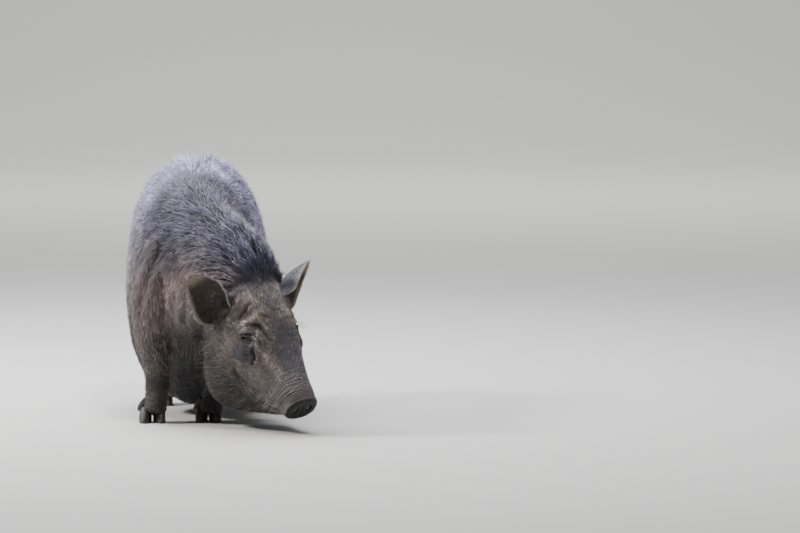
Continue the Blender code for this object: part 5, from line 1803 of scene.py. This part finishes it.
def make_dewclaw(name, middle, side, finish):
    heights = (DEWCLAW_HEIGHT, DEWCLAW_HEIGHT - DEWCLAW_LENGTH)
    root, tip = (
        middle + Vector((side * DEWCLAW_APART * aside, DEWCLAW_BACK * back, height))
        for (aside, back), height in zip((DEWCLAW_ROOT, DEWCLAW_TIP), heights)
    )
    shares = np.linspace(0, 1, 12)
    centres = [root.lerp(tip, t) for t in shares]
    radii = DEWCLAW_RADIUS * np.interp(shares, *DEWCLAW_SIZES)
    frames = [ring_frame((tip - root).normalized(), Vector((0, 1, 0)))] * len(shares)
    halves = np.stack([radii * DEWCLAW_WIDE, radii * DEWCLAW_DEEP], 1)
    piece = mesh_object("dewclaw_" + name, *ring_stack(centres, halves, frames, 20))
    paint_horn(piece)
    finish_piece(piece, finish, "horn")


def paint_horn(piece):
    """Dark horn, worn paler at the floor."""
    places = rows_of(piece.data)
    worn = ramp(-places[:, 2], -0.012, -0.001)
    paint(piece.data, mix(np.tile(HORN, (len(places), 1)), WORN_HORN, 0.6 * worn))


# ---------------------------------------------------------------- floor, light, camera

# The camera stands level with the pig's back, far off, as a long lens sees it
CAMERA_PLACE = Vector((0.0, -9.586, 0.911)) + SHIFT
CAMERA_AIM = Vector((0.391, -0.104, 0.276)) + SHIFT
LENS = 239
FLOOR_SIZE, FLOOR_BACK, FLOOR_RISE = 11.0, 9.5, 5.0  # half its width, and where and how high it curves up
# Lights: name, place, aim, size, power, colour
LIGHTS = (
    ("sky", (-0.5, 1.2, 2.8), (0, 0, 0.3), 2.4, 215, (0.93, 0.95, 1.0)),
    ("sun", (-2.1, 0.2, 1.9), (0, 0, 0.25), 0.5, 95, (1.0, 0.97, 0.94)),
    ("front", (0.6, -1.6, 3.2), (0, -0.2, 0.2), 0.6, 68, (1.0, 0.97, 0.94)),
    ("backdrop", (0.5, 7.0, 5.0), (0.5, 10.0, 0), 4.0, 520, (1.0, 1.0, 1.0)),
)


def make_floor():
    """A floor that curves up into a backdrop."""
    size, rise = FLOOR_SIZE, FLOOR_RISE
    points = [(-size, -size - 4, 0), (size, -size - 4, 0)]
    for turn in np.radians(np.linspace(0, 90, 13)):
        y, z = FLOOR_BACK + math.sin(turn) * rise, rise - math.cos(turn) * rise
        points += [(-size, y, z), (size, y, z)]
    points += [(-size, FLOOR_BACK + rise, 12), (size, FLOOR_BACK + rise, 14)]
    faces = [(2 * k, 2 * k + 1, 2 * k + 3, 2 * k + 2) for k in range(len(points) // 2 - 1)]
    floor = mesh_object("floor", points, faces)
    floor.data.materials.append(floor_material())


def aim_at(obj, place, aim):
    obj.location = place
    obj.rotation_euler = (Vector(aim) - Vector(place)).to_track_quat("-Z", "Y").to_euler()


def make_light():
    for name, place, aim, size, power, colour in LIGHTS:
        data = bpy.data.lights.new(name, "AREA")
        data.shape = "DISK"
        data.size, data.energy, data.color = size, power, colour
        aim_at(link(name, data), place, aim)
    world = bpy.data.worlds.new("studio")
    world.use_nodes = True
    background = world.node_tree.nodes["Background"]
    background.inputs["Color"].default_value = (0.86, 0.90, 0.96, 1)
    background.inputs["Strength"].default_value = 0.24
    bpy.context.scene.world = world


def make_camera():
    data = bpy.data.cameras.new("camera")
    data.lens, data.sensor_width, data.clip_end = LENS, 36, 60
    camera = link("camera", data)
    aim_at(camera, CAMERA_PLACE, CAMERA_AIM)
    bpy.context.scene.camera = camera


# ---------------------------------------------------------------- the whole pig

SKIN_SHADE = 0.55  # the hide under the hair is darker than its markings
FLESH = ("head", "neck", "torso", "tail", "ear_right", "ear_left", *LEGS)


def dress_skin(skin, finder):
    """Paints the markings on the hide, with painted shade in its creases and folds, and lets it stand for the
    flesh nodes.
    """
    places = rows_of(skin.data)
    parts = parts_of(places, finder)
    colours = ear_colours(places, hide_colours(places, parts), parts)
    tree = surface_tree(skin.data)
    # painted shade in the creases and folds, and the hide under the hair darker of itself
    painted_shade_and_skin_tone = crease_shade(places, tree) * fold_shade(places, tree)
    painted_shade_and_skin_tone *= np.where(parts == EAR, 0.8, SKIN_SHADE)
    paint(skin.data, colours * painted_shade_and_skin_tone[:, None])
    finish_piece(skin, skin_material(), "hide", *FLESH)


def main():
    forms = all_forms()
    finder = part_finder(forms)
    skin = make_skin(forms, finder)
    dress_skin(skin, finder)
    hair = hair_material()
    tree = make_coat(skin, finder, hair)
    make_strands(tree, hair)
    wet = eye_material()
    for word in SIDES:
        make_eye(word, wet)
    make_snout(snout_material())
    make_claws(horn_material())
    make_floor()
    make_light()
    make_camera()


main()
